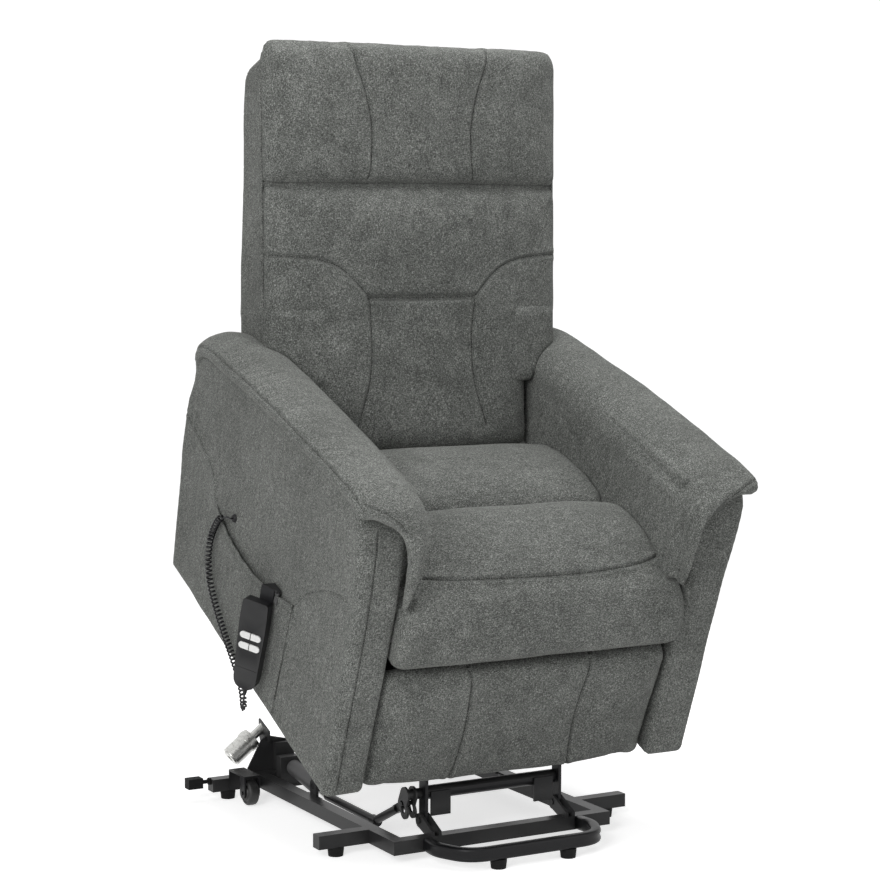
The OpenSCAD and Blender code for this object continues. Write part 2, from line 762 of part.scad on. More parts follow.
// Lower front of the seat, wider than the space between the arms
apron_low = 234;
module front_apron() {
    P = [[56, apron_low + 4, 8], [18, apron_low, 14], [-9, apron_low + 22, 18],
        [-6, 300, 30], [16, 338, 40], [50, 363, 16], [64, 355, 6], [70, 300, 10]];
    color(FABRIC) on_chair()
        skin([for (t = across) side_ring(P, front_half - 1, t, apron_low, 0.05, 0.1)]);
}

// ---- Back ----------------------------------------------------------------
back_root = [598.8, 400];
module on_back() {
    on_chair() translate([0, back_root[0], back_root[1]]) rotate([-back_lean, 0, 0]) children();
}
function back_uw(s, y) = [back_root[0] + s * sin(back_lean) + y * cos(back_lean),
    back_root[1] + s * cos(back_lean) - y * sin(back_lean)];

back_narrow = arm_inner - 8;
shell_low_t = 125;
shell_top_t = 73;
// The wide part of the back ends on a circle round the pivot and so passes
// over the arms while the back reclines
wing_r = 345;
function shell_t(s) = shell_low_t + (shell_top_t - shell_low_t) * s / back_len;

module shell_outline() {
    rear_s = back_len - 50;
    polygon(soften([
        concat(back_uw(-20, 1), [2]),
        concat(back_uw(-20, shell_t(-20)), [12]),
        concat(back_uw(rear_s, shell_t(rear_s)), [26]),
        concat(back_uw(back_len - 8, 1), [4])], 4));
}

module back_shell() {
    color(FABRIC) on_chair() {
        side_slab(-back_narrow, 2 * back_narrow) shell_outline();
        side_slab(-back_half, 2 * back_half) difference() {
            shell_outline();
            translate(back_pivot) circle(wing_r, $fn = 96);
        }
    }
}

// A padded ring across the back: width, thickness at its middle and at its
// edge, the place of a pair of sewn channels and their depth, a sunk middle
function pad_x(half, g) = concat(
    [for (k = [0, 0.035, 0.12, 0.4]) -half + (half - g) * k],
    [-g - 9, -g, -g + 9], [-0.45 * g, 0, 0.45 * g], [g - 9, g, g + 9],
    [for (k = [0.4, 0.12, 0.035, 0]) half - (half - g) * k]);
function bulge(x, half, mid, edge) = edge + (mid - edge) * (1 - pow(min(1, abs(x) / half), 3.2));
function channel(x, g, depth) = depth * exp(-pow((abs(x) - g) / 6, 2));
function back_ring(s, half, mid, edge, g, depth, sunk) = concat(
    [for (x = pad_x(half, g)) [x, -max(2,
        (abs(x) > half - 1 ? 0.35 * edge : bulge(x, half, mid, edge)) - channel(x, g, depth)
        - (abs(x) < g ? sunk : 0)), s]],
    [[half - 2, 0, s], [-half + 2, 0, s]]);

// Half width of the back at height s: narrow between the arms, wide above them
wing_s = 181;
function back_w(s) = s < wing_s ? back_narrow - 2
    : s < wing_s + 8 ? back_narrow - 2 + (back_half - back_narrow + 6) * (s - wing_s) / 8 : back_half + 4;
// Where the pair of sewn channels runs at height s
function lumbar_g(s) = s < lumbar_s ? 112 + 34 * pow((lumbar_s - s) / lumbar_s, 1.6)
    : min(back_half - 30, 112 + (s - lumbar_s) * 2.6);

module back_cushion() {
    low = -70;
    top = crease_s - 3;
    stations = [low, low + 6, low + 24, 20, 80, 140, wing_s - 1, wing_s, wing_s + 8, lumbar_s - 9,
        lumbar_s, lumbar_s + 9, 262, 300, 360, top - 28, top - 9, top];
    color(FABRIC) on_back() skin([for (s = stations)
        let (near = min(s - low, top - s),
            mid = back_crown * (near < 1 ? 0.3 : near < 10 ? 0.62 : near < 31 ? 0.86 : 1))
        back_ring(s, back_w(s), mid, min(mid * 0.8, 20), lumbar_g(s),
            near < 1 || s > 320 ? 0.5 : seam_depth, s == lumbar_s ? seam_depth : 0)]);
}

module head_pillow() {
    low = crease_s + 3;
    top = back_len;
    rise = top - low;
    stations = [low, low + 7, low + 26, low + rise * 0.3, low + rise * 0.6, top - 34, top - 12, top - 3, top];
    color(FABRIC) on_back() skin([for (s = stations)
        let (near = min(s - low, (top - s) * 1.3),
            mid = (back_crown - 3) * (near < 1 ? 0.3 : near < 10 ? 0.66 : near < 28 ? 0.88 : 1))
        back_ring(s, back_half + 4 - (top - s < 4 ? 9 : 0), mid, min(mid * 0.8, 24),
            109 + 37 * (s - low) / rise, near < 1 ? 1 : seam_depth, 0)]);
}

upright_x = plate_x + plate_t + 4;
lever_h = 85;
back_swing = 30;
lever_d = 10;
actuator_w = back_pivot[1] - lever_h;
module back_frame() {
    top_s = 470;
    root = back_pivot;
    shoulder = back_uw(40, 40);
    crown = back_uw(top_s, 40);
    lever_tip = root + [lever_h * tan(back_swing / 2), -lever_h];
    color(STEEL) on_chair() {
        both() side_slab(upright_x, 6) union() {
            link_outline(root, shoulder, 16);
            link_outline(shoulder, crown, 13);
        }
        x_bar(root, shaft_d, -upright_x - 6, upright_x + 6);
        x_bar(crown, 16, -upright_x, upright_x);
        difference() {
            side_slab(-actuator_x - 4, 8) link_outline(root, lever_tip + unit(lever_tip - root) * 2, 13);
            side_slab(-actuator_x - 5, 10) link_outline(lever_tip - unit(lever_tip - root) * 6,
                lever_tip + unit(lever_tip - root) * 2, lever_d / 2 + 1);
        }
    }
}

// ---- Actuators -----------------------------------------------------------
body_d = 34;
module actuator_body(length) {
    difference() {
        union() {
            translate([0, 50, 0]) rotate([-90, 0, 0]) cylinder(h = length - 50, d = body_d);
            translate([-25, 0, -21]) cube([50, 56, 42]);
            translate([0, 28, -21]) mirror([0, 0, 1]) cylinder(h = 62, d = 40);
        }
        translate([0, 20, 0]) rotate([-90, 0, 0]) cylinder(h = length, d = rod_d + 8);
    }
}

module actuator_rod(length) {
    translate([0, -length, 0]) rotate([-90, 0, 0]) cylinder(h = length - 32, d = rod_d);
    for (s = [-1, 1]) translate([s * 9 - 2, -34, -11]) cube([4, 46, 22]);
    translate([-11, -34, -11]) cube([22, 5, 22]);
    translate([-11, 0, 0]) rotate([0, 90, 0]) cylinder(h = 22, d = lever_d);
}

back_rod_tip = [back_pivot[0] + lever_h * tan(back_swing / 2), actuator_w];
module back_actuator() {
    color(BLACK) on_chair() translate([-actuator_x, front_bar_u, actuator_w]) actuator_body(300);
}

module back_actuator_rod() {
    color(BRIGHT) on_chair() translate([-actuator_x, back_rod_tip[0], back_rod_tip[1]])
        actuator_rod(260);
}

foot_swing = 83;
foot_lever_h = 45;
foot_rod_tip = [foot_pivot[0] + foot_lever_h * tan(foot_swing / 2), foot_pivot[1] - foot_lever_h];
module foot_actuator() {
    color(BLACK) on_chair() translate([actuator_x, rear_bar_u - 4, foot_rod_tip[1]])
        mirror([0, 1, 0]) actuator_body(220);
}

module foot_actuator_rod() {
    color(BRIGHT) on_chair() translate([actuator_x, foot_rod_tip[0], foot_rod_tip[1]])
        mirror([0, 1, 0]) actuator_rod(260);
}

module control_box() {
    top = lift_rail_w + tube / 2;
    color(BLACK) on_chair() difference() {
        translate([-110, rear_bar_u - tube / 2 - 20, top]) cube([140, 58, 34]);
        translate([-80, rear_bar_u + tube / 2 + 8, top + 8]) cube([26, 20, 18]);
    }
}

// ---- Footrest linkage ----------------------------------------------------
upper_len = 190;
upper_rest = -97;
knee = foot_pivot + upper_len * [cos(upper_rest), sin(upper_rest)];
board_pivot = [68, 172];
upper_x = plate_x + plate_t + 4;
lower_x = upper_x + 6 + 2;

module foot_shaft() {
    lever_tip = foot_rod_tip;
    dir = unit(lever_tip - foot_pivot);
    reach = norm(lever_tip - foot_pivot);
    color(STEEL) on_chair() {
        x_bar(foot_pivot, shaft_d, -upper_x, upper_x);
        difference() {
            side_slab(actuator_x - 4, 8) link_outline(foot_pivot, foot_pivot + dir * (reach + 2), 11);
            side_slab(actuator_x - 5, 10) link_outline(foot_pivot + dir * (foot_lever_h - 3),
                foot_pivot + dir * (reach + 2), lever_d / 2 + 3);
        }
    }
}

module foot_upper_links() {
    color(STEEL) on_chair() both() {
        difference() {
            side_slab(upper_x, 6) link_outline(foot_pivot, knee, 12);
            x_bar(knee, 8 + 2 * run_fit, upper_x - 1, upper_x + 7);
        }
    }
}

module foot_lower_links() {
    color(STEEL) on_chair() both() {
        side_slab(lower_x, 5) link_outline(knee, board_pivot, 11);
        x_bar(knee, 8, upper_x - 2, lower_x + 1);
        x_bar(board_pivot, 8, upper_x - 2, lower_x + 1);
    }
}

board_t = 6;
module footrest_board() {
    low = 4;
    high = 222;
    color(WOOD) on_chair() {
        translate([-front_half + 10, foot_pad_t, low]) cube([2 * (front_half - 10), board_t, high - low]);
        both() difference() {
            side_slab(upper_x, 6) union() {
                translate(board_pivot) circle(11);
                translate([foot_pad_t + 2, board_pivot[1] - 22])
                    square([board_pivot[0] - foot_pad_t - 2, 44]);
            }
            x_bar(board_pivot, 8 + 2 * run_fit, upper_x - 1, upper_x + 7);
        }
    }
}

module footrest_pad() {
    low = -14;
    high = 226;
    rise = high - low;
    stations = [low, low + 8, low + 34, low + rise * 0.4, low + rise * 0.65, high - 26, high - 7, high];
    color(FABRIC) on_chair() translate([0, foot_pad_t - gap, 0]) skin([for (s = stations)
        let (near = min(s - low, high - s), t = (s - low) / rise,
            mid = (foot_pad_t + 4 - 12 * t) * (near < 1 ? 0.45 : near < 9 ? 0.8 : 1))
        back_ring(s, front_half - (near < 1 ? 5 : 1), mid, mid * 0.8,
            122 - 16 * sin(t * 180), near < 1 ? 1 : seam_depth, 0)]);
}

// ---- Hand control --------------------------------------------------------
remote_lean = 5.8;
remote_top = [309, 208];
pocket_face = arm_outer + pocket_gap + pocket_t;
hang_x = pocket_face + 1 + remote_w / 2 * sin(remote_turn);
rows = [69, 90];
button_w = 20;
button_h = 12.5;
well = 6;
relief = 12;

// Drawn with its length down -z, its face towards -x and its width along y
module on_remote() {
    on_chair() translate([-hang_x, remote_top[0], remote_top[1]]) rotate([-remote_lean, 0, 0])
        rotate([0, 0, remote_turn]) children();
}
function remote_point(x, y, z) = let (a = x * cos(remote_turn) - y * sin(remote_turn),
    b = x * sin(remote_turn) + y * cos(remote_turn))
    [-hang_x + a, remote_top[0] + b * cos(remote_lean) + z * sin(remote_lean),
        remote_top[1] - b * sin(remote_lean) + z * cos(remote_lean)];

module button_outline(side, grow) {
    half = button_h / 2 + grow;
    reach = button_w - button_h / 2;
    translate([side * 0.9, 0]) scale_x(side) union() {
        translate([-grow, -half]) square([reach + grow, 2 * half]);
        translate([reach, 0]) circle(half);
    }
}

module face_cut(i, side) {
    translate([-remote_t - 1, 0, -rows[i]]) rotate([90, 0, 90]) linear_extrude(well + 1)
        button_outline(side, 0.4);
}

module handset() {
    w = remote_w / 2;
    strap_w = pocket_w1 + 3;
    color("#1b1b1d") {
        on_remote() {
            difference() {
                translate([-remote_t, 0, 0]) rotate([90, 0, 90]) linear_extrude(remote_t)
                    polygon(soften([[-w + 2, 0, 6], [w - 2, 0, 6], [w, -40, 20],
                        [w - 5, -remote_len, 22], [-w + 5, -remote_len, 22], [-w, -40, 20]], 4));
                for (i = [0, 1], side = [-1, 1]) face_cut(i, side);
                translate([-remote_t - 1, -w - 1, -135]) cube([1.6, 2 * w + 2, 1.4]);
            }
            translate([-1, -24, -10]) cube([4, 26, strap_w + 3 - remote_top[1] + 10]);
            translate([-remote_t / 2, 0, -remote_len - relief])
                cylinder(h = relief + 0.5, d1 = cord_d + 4, d2 = cord_d + 8);
        }
        // hook over the pocket's edge
        on_chair() {
            translate([0, 0, strap_w]) linear_extrude(5) polygon([
                xy(remote_point(0, -24, 22)), xy(remote_point(0, 2, 22)),
                [-pocket_face + pocket_t + 3.5, remote_top[0] + 4],
                [-pocket_face + pocket_t + 3.5, remote_top[0] - 23],
                [-pocket_face - 1, remote_top[0] - 23]]);
            translate([-pocket_face + pocket_t + 0.5, remote_top[0] - 23, strap_w - 26]) cube([3, 27, 31]);
        }
    }
}

// Each button stands 1.6 proud and can sink by its travel
module button(i, side) {
    color(WHITE) on_remote() translate([-remote_t - 1.6, 0, -rows[i]]) rotate([90, 0, 90])
        linear_extrude(well - button_travel - 0.5 + 1.6) button_outline(side, 0);
}

module button_back_up() {
    button(0, -1);
}

module button_back_down() {
    button(0, 1);
}

module button_foot_up() {
    button(1, -1);
}

module button_foot_down() {
    button(1, 1);
}

// ---- Curly cord ----------------------------------------------------------
// It leaves a grommet above the pocket's mouth, hangs in a long bow against
// the side, turns below the hand control and comes up into it
grommet = [520, 244];
coil_x = -(pocket_face + coil_d / 2 + 1);
cord_end = remote_point(-remote_t / 2, 0, -remote_len - relief);
end_dir = [0, sin(remote_lean), cos(remote_lean)];
module cord_grommet() {
    color("#141415") on_chair() translate([-arm_outer, grommet[0], grommet[1]]) rotate([0, -90, 0])
        cylinder(h = 4, d1 = 16, d2 = 12);
}

route = [
    [-arm_outer - 4, grommet[0], grommet[1]],
    [-arm_outer - 9, grommet[0] + 0.5, grommet[1]],
    [coil_x + 4, grommet[0] + 7, grommet[1] - 1],
    [coil_x, grommet[0] + 24, grommet[1] - 14],
    [coil_x, 557, 208],
    [coil_x, 566, 178],
    [coil_x, 566, 150],
    [coil_x, 556, 122],
    [coil_x, 536, 96],
    [coil_x, 506, 76],
    [coil_x, 470, 57],
    [coil_x, 430, 40],
    [coil_x, 390, 25],
    [coil_x, 352, 8],
    [coil_x - 2, 322, -8],
    [coil_x - 8, 298, -18],
    [cord_end[0] + 1, 281, -14],
    cord_end - end_dir * 14,
    cord_end - end_dir * 6,
    cord_end];
route_last = len(route) - 1;
// Smooth curve through the route
function route_at(t) = let (i = min(route_last - 1, floor(t)), k = t - i,
    a = route[max(0, i - 1)], b = route[i], c = route[i + 1], d = route[min(route_last, i + 2)])
    0.5 * ((2 * b) + (c - a) * k + (2 * a - 5 * b + 4 * c - d) * k * k
        + (-a + 3 * b - 3 * c + d) * k * k * k);
// The same curve by length along it
route_steps = 190;
mile = [for (i = 0, s = 0; i <= route_steps; i = i + 1,
    s = s + norm(route_at(min(i, route_steps) * route_last / route_steps)
        - route_at((i - 1) * route_last / route_steps))) [s, i * route_last / route_steps]];
route_len = mile[route_steps][0];
function along(s) = route_at(lookup(s, mile));

rings_per_curl = 8;
cord_sides = 6;
coil_r = (coil_d - cord_d) / 2;
coil_from = 20;
coil_to = route_len - 44;
coil_rings = curls * rings_per_curl;
function swell(s) = min(1, (s - coil_from) / 12, (coil_to - s) / 12);
function coil_point(i) = let (s = coil_from + (coil_to - coil_from) * i / coil_rings,
    d = unit(along(s + 1) - along(s - 1)), side = unit(cross(d, [1, 0, 0])), up = cross(side, d),
    a = 360 * i / rings_per_curl)
    along(s) + coil_r * swell(s) * (side * cos(a) + up * sin(a));
wire = concat([for (s = [0, 3.2, 7, 11, 15]) along(s)], [for (i = [0:coil_rings]) coil_point(i)],
    [for (s = [38, 31, 25, 19, 13, 8, 3.2]) along(route_len - s)], [cord_end]);
wire_last = len(wire) - 1;
wire_dirs = [for (i = [0:wire_last]) i == 0 ? [-1, 0, 0] : i == wire_last ? end_dir
    : unit(wire[i + 1] - wire[i - 1])];
// Each ring's first corner follows on from the ring before, so the skin never twists
wire_sides = [for (i = 0, n = [0, 0, 1]; i <= wire_last; i = i + 1,
    n = i > wire_last ? n : unit(n - (n * wire_dirs[i]) * wire_dirs[i])) n];
function wire_ring(i) = [for (k = [0:cord_sides - 1]) let (a = 360 * k / cord_sides)
    wire[i] + cord_d / 2 * (wire_sides[i] * cos(a) + cross(wire_dirs[i], wire_sides[i]) * sin(a))];

least_gap = min([for (i = [0:wire_last - 6], j = [i + 5:1:min(wire_last, i + 26)]) norm(wire[i] - wire[j])])
    - cord_d;
echo(str("curly cord: length of its line ", route_len, ", least gap to itself ", least_gap));

module curly_cord() {
    color("#17171a") on_chair() skin([for (i = [0:wire_last]) wire_ring(i)]);
}

side_rails();
front_cross_tube();
rear_cross_tube();
outriggers();
front_loop();
rubber_feet();
end_caps();
wheel_forks();
transport_wheel_left();
transport_wheel_right();
wall_buffers();
front_link_ears();
rear_link_ears();
motor_bracket();
lift_motor();
lift_gearbox();
drive_tube();
front_link_arms();
lift_cross_tube();
drive_crank();
rear_link_arms();
rear_link_tube();
drive_rod();
drive_link();
lift_rails();
lift_cross_bars();
side_plates();
seat_cross_rails();
seat_springs();
arm_left();
arm_right();
arm_facings();
arm_pad_left();
arm_pad_right();
rear_skirt();
side_pocket();
seat_cushion();
front_roll();
front_apron();
control_box();
foot_actuator();
back_actuator();
foot_shaft();
foot_upper_links();
foot_lower_links();
footrest_board();
footrest_pad();
foot_actuator_rod();
back_frame();
back_shell();
back_cushion();
head_pillow();
back_actuator_rod();
handset();
button_back_up();
button_back_down();
button_foot_up();
button_foot_down();
cord_grommet();
curly_cord();
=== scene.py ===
import json
import math

import bmesh
import bpy
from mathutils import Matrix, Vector, noise
from mathutils.bvhtree import BVHTree
from mathutils.kdtree import KDTree


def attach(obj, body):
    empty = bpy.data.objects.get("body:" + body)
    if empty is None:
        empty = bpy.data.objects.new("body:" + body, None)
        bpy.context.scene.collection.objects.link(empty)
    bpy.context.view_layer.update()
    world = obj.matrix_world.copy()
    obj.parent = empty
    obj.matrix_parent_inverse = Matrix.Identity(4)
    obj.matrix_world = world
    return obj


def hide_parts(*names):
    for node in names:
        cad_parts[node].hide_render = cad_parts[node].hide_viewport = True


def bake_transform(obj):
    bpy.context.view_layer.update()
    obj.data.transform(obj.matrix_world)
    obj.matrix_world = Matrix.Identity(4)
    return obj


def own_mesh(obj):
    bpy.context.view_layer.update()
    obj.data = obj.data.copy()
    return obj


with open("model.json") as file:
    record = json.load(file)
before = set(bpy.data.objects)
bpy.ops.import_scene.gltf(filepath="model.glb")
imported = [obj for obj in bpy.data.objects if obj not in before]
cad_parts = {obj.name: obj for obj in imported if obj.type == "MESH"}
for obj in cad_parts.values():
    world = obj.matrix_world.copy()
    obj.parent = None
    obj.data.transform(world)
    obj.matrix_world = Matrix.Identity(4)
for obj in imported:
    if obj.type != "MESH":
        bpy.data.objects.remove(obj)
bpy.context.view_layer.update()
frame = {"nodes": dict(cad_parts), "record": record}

scene = bpy.context.scene

# ---- Frames: millimetres in, metres in the row frame out ----
# The values are those of part.scad
SIDE, SETBACK = 16.0, 209.0
FRONT_Y, FRONT_Z = -18, 145  # the chair's lower front corner over the floor base
BACK_U, BACK_W = 598.8, 400  # the back's lower front corner in the chair
TILT, LEAN = math.radians(25.1), math.radians(25.6)
CT, ST, CL, SL = math.cos(TILT), math.sin(TILT), math.cos(LEAN), math.sin(LEAN)


def base(x, y, z):
    return Vector(((x + SIDE) / 1000, (y - SETBACK) / 1000, z / 1000))


def chair(x, u, w):
    """Chair frame: x, depth from the front corner, height above the lower edge."""
    return base(x, FRONT_Y + u * CT - w * ST, FRONT_Z + u * ST + w * CT)


def back(x, y, s):
    """Back frame: x, distance behind the shell's front, height along the back."""
    return chair(x, BACK_U + s * SL + y * CL, BACK_W + s * CL - y * SL)


def heading(place, x, y, z):
    """A direction of a local frame, in the row frame."""
    return (place(x, y, z) - place(0, 0, 0)).normalized()


def local(p):
    """Row frame back to the chair frame, in millimetres."""
    x, y, z = p.x * 1000 - SIDE, p.y * 1000 + SETBACK - FRONT_Y, p.z * 1000 - FRONT_Z
    return x, y * CT + z * ST, -y * ST + z * CT


def back_local(p):
    """Row frame back to the back frame, in millimetres."""
    x, u, w = local(p)
    u, w = u - BACK_U, w - BACK_W
    return x, u * CL - w * SL, u * SL + w * CL


def clamp01(v):
    return max(0.0, min(1.0, v))


def smooth01(v):
    v = clamp01(v)
    return v * v * (3 - 2 * v)


# ---- Camera: solved from the photograph ----
camera = bpy.data.objects.new("camera", bpy.data.cameras.new("camera"))
camera.data.sensor_width = 36
camera.data.lens = 92.71
camera.data.clip_end = 60
camera.location = (-2.041, -3.684, 1.103)
camera.rotation_euler = (math.radians(84.83), 0, math.radians(-28.96))
scene.collection.objects.link(camera)
scene.camera = camera


# ---- Materials ----
def feed(tree, made, inputs):
    """Sets or links a node's inputs, by name or number."""
    for name, value in inputs.items():
        if isinstance(value, bpy.types.NodeSocket):
            tree.links.new(value, made.inputs[name])
        else:
            made.inputs[name].default_value = value


def node(tree, kind, inputs=None, **values):
    made = tree.nodes.new(kind)
    for key, value in values.items():
        setattr(made, key, value)
    feed(tree, made, inputs or {})
    return made


def blank(name, rough, metal=0.0, spec=0.5):
    made = bpy.data.materials.new(name)
    made.use_nodes = True
    shader = made.node_tree.nodes["Principled BSDF"]
    feed(made.node_tree, shader, {
        "Roughness": rough, "Metallic": metal, "Specular IOR Level": spec})
    return made, made.node_tree, shader


def noise_at(tree, vector, scale, detail=2.0, rough=0.55, stretch=(1, 1, 1), turn=(0, 0, 0)):
    if stretch != (1, 1, 1) or turn != (0, 0, 0):
        vector = node(tree, "ShaderNodeMapping", {
            "Vector": vector, "Scale": stretch, "Rotation": turn}).outputs[0]
    return node(tree, "ShaderNodeTexNoise", {
        "Vector": vector, "Scale": scale, "Detail": detail, "Roughness": rough}).outputs["Fac"]


def blend_math(tree, kind, a, b):
    return node(tree, "ShaderNodeMath", {0: a, 1: b}, operation=kind).outputs[0]


def weighted(tree, *terms):
    """Sum of (value, share) pairs."""
    total = None
    for value, share in terms:
        part = value if share == 1 else blend_math(tree, "MULTIPLY", value, share)
        total = part if total is None else blend_math(tree, "ADD", total, part)
    return total


def map_range(tree, value, low, high, to_low=0.0, to_high=1.0):
    return node(tree, "ShaderNodeMapRange", {
        "Value": value, "From Min": low, "From Max": high, "To Min": to_low,
        "To Max": to_high}).outputs[0]


def object_place(tree):
    return node(tree, "ShaderNodeTexCoord").outputs["Object"]


def ramp(tree, fac, stops):
    made = node(tree, "ShaderNodeValToRGB", {"Fac": fac})
    while len(made.color_ramp.elements) < len(stops):
        made.color_ramp.elements.new(0.5)
    for e, (at, colour) in zip(made.color_ramp.elements, stops):
        e.position = at
        e.color = (*colour, 1)
    return made.outputs["Color"]


def mix(tree, fac, a, b):
    a, b = (v if isinstance(v, bpy.types.NodeSocket) else (*v, 1) for v in (a, b))
    return node(tree, "ShaderNodeMix", {0: fac, 6: a, 7: b}, data_type="RGBA").outputs[2]


def bump(tree, shader, height, strength, distance):
    made = node(tree, "ShaderNodeBump", {
        "Height": height, "Strength": strength, "Distance": distance})
    feed(tree, shader, {"Normal": made.outputs[0]})


def fabric(name, turn):
    """Brushed heathered weave: short fibres in three directions and faint nap strokes."""
    made, tree, shader = blank(name, 0.95, spec=0.12)
    v = node(tree, "ShaderNodeMapping", {
        "Vector": object_place(tree), "Rotation": (math.radians(turn), 0, 0)}).outputs[0]
    fine = weighted(tree, *[(noise_at(tree, v, 1.0, 2.0, 0.65, stretch), 1) for stretch in
                            ((230, 700, 700), (700, 230, 700), (700, 700, 230))])
    strokes = noise_at(tree, v, 1.0, 3.0, 0.6, (30, 95, 30), (0.5, 0.0, 0.3))
    patches = noise_at(tree, v, 26.0, 3.0, 0.6)
    broad = noise_at(tree, v, 5.0, 2.0, 0.5)
    nap = weighted(tree, (strokes, 0.26), (patches, 0.16), (broad, 0.20))
    colour = ramp(tree, map_range(tree, weighted(tree, (fine, 1), (nap, 1)), 1.42, 2.22), [
        (0.0, (0.040, 0.041, 0.038)), (0.34, (0.088, 0.092, 0.086)), (0.52, (0.141, 0.147, 0.138)),
        (0.72, (0.233, 0.241, 0.227)), (1.0, (0.41, 0.42, 0.40))])
    feed(tree, shader, {"Base Color": colour, "Sheen Weight": 0.20, "Sheen Roughness": 0.45,
                        "Sheen Tint": (0.80, 0.81, 0.77, 1)})
    bump(tree, shader, weighted(tree, (fine, 1), (strokes, 0.6)), 0.6, 0.0010)
    return made


def grained(name, dark, light, rough, scale, metal=0.0, spec=0.5, depth=0.0002,
            stretch=(1, 1, 1), wear=None):
    """Painted metal, plastic or rubber: two shades, a grain, and rubbed edges."""
    made, tree, shader = blank(name, rough, metal, spec)
    place = object_place(tree)
    grain = noise_at(tree, place, scale, 3.0, 0.6, stretch)
    cloud = noise_at(tree, place, 9.0, 3.0, 0.55)
    fac = blend_math(tree, "MULTIPLY", blend_math(tree, "ADD", grain, cloud), 0.5)
    fac = map_range(tree, fac, 0.36, 0.64)
    colour = mix(tree, fac, dark, light)
    if wear:
        edge = map_range(tree, node(tree, "ShaderNodeNewGeometry").outputs["Pointiness"],
                         0.53, 0.60)
        colour = mix(tree, blend_math(tree, "MULTIPLY", edge, cloud), colour, wear)
    gloss = map_range(tree, fac, 0, 1, rough * 0.85, min(1, rough * 1.2))
    feed(tree, shader, {"Base Color": colour, "Roughness": gloss})
    bump(tree, shader, grain, 0.5, depth)
    return made


def timber(name):
    made, tree, shader = blank(name, 0.6, spec=0.3)
    grain = noise_at(tree, object_place(tree), 1.0, 4.0, 0.6, (6, 90, 90))
    colour = ramp(tree, grain, [(0.3, (0.30, 0.18, 0.09)), (0.5, (0.48, 0.32, 0.18)),
                                (0.7, (0.60, 0.43, 0.26))])
    feed(tree, shader, {"Base Color": colour})
    bump(tree, shader, grain, 0.4, 0.0004)
    return made


CLOTH = fabric("cloth_chair", -25.1)
CLOTH_BACK = fabric("cloth_back", 0.5)
THREAD = grained("thread", (0.075, 0.078, 0.073), (0.13, 0.135, 0.125), 0.8, 900, spec=0.2)
STEEL = grained("steel_black", (0.005, 0.005, 0.006), (0.011, 0.011, 0.012), 0.34, 700, spec=0.20,
                depth=0.00012, wear=(0.05, 0.05, 0.05))
STEEL_GREY = grained("steel_grey", (0.035, 0.035, 0.038), (0.07, 0.07, 0.074), 0.40, 500,
                     spec=0.25, depth=0.00012, wear=(0.16, 0.16, 0.16))
BRIGHT = grained("metal_bright", (0.45, 0.45, 0.43), (0.72, 0.72, 0.70), 0.30, 260, metal=1.0,
                 depth=0.0002, stretch=(1, 0.2, 1))
RUBBER = grained("rubber_black", (0.006, 0.006, 0.006), (0.014, 0.014, 0.014), 0.70, 420,
                 spec=0.15)
PLASTIC = grained("plastic_black", (0.006, 0.006, 0.007), (0.012, 0.012, 0.013), 0.40, 1600,
                  spec=0.22, depth=0.00008, wear=(0.05, 0.05, 0.05))
# Painted shade: near-black colour for the dashes laid in the bottom of each sewn valley
SEAM_PAINTED_SHADE = grained("seam_shade", (0.012, 0.012, 0.011), (0.030, 0.030, 0.028), 0.9, 900, spec=0.1,
               depth=0.0001)
LINING = grained("lining_black", (0.010, 0.010, 0.010), (0.020, 0.020, 0.020), 0.9, 1200, spec=0.1,
                 depth=0.0002)
CORD = grained("cord_black", (0.008, 0.008, 0.009), (0.016, 0.016, 0.018), 0.30, 900, spec=0.30,
               depth=0.00004)
WHEEL = grained("wheel_black", (0.012, 0.012, 0.012), (0.03, 0.03, 0.03), 0.5, 700)
WHITE = grained("plastic_white", (0.78, 0.78, 0.77), (0.86, 0.86, 0.85), 0.35, 900, depth=0.00004)
WOOD = timber("wood_board")

SLOT_MATERIAL = {"black_steel": STEEL, "grey_steel": STEEL_GREY, "bright_metal": BRIGHT,
                 "grey_fabric": CLOTH, "black_rubber": RUBBER, "wheel_plastic": WHEEL,
                 "black_plastic": PLASTIC, "white_plastic": WHITE, "wood": WOOD}
for part in frame["record"]["subparts"]:
    shape = frame["nodes"][part["node"]]
    shape.data.materials.clear()
    shape.data.materials.append(LINING if part["node"] == "footrest_board"
                                else SLOT_MATERIAL[part["material_slot"]])


# ---- Curly cord ----
# The route, the coil's radius and its turns are those of part.scad
POCKET_FACE, REMOTE_TURN, REMOTE_LEAN = 383.0, math.radians(38), math.radians(5.8)
REMOTE_W, REMOTE_T, REMOTE_LEN = 54.0, 19.0, 176.0
REMOTE_U, REMOTE_TOP = 309, 208
HANG_X = POCKET_FACE + 1 + REMOTE_W / 2 * math.sin(REMOTE_TURN)


def remote(x, y, z):
    """Hand control frame (length down -z, face towards -x, width along y) to the chair frame."""
    a = x * math.cos(REMOTE_TURN) - y * math.sin(REMOTE_TURN)
    b = x * math.sin(REMOTE_TURN) + y * math.cos(REMOTE_TURN)
    return Vector((-HANG_X + a, REMOTE_U + b * math.cos(REMOTE_LEAN) + z * math.sin(REMOTE_LEAN),
                   REMOTE_TOP - b * math.sin(REMOTE_LEAN) + z * math.cos(REMOTE_LEAN)))


def curve_through(points, t):
    """Catmull-Rom through the points; t runs from 0 to the last index."""
    last = len(points) - 1
    i = min(last - 1, int(math.floor(t)))
    k = t - i
    a, b, c, d = points[max(0, i - 1)], points[i], points[i + 1], points[min(last, i + 2)]
    return 0.5 * ((2 * b) + (c - a) * k + (2 * a - 5 * b + 4 * c - d) * k * k
                  + (3 * b - a - 3 * c + d) * k * k * k)


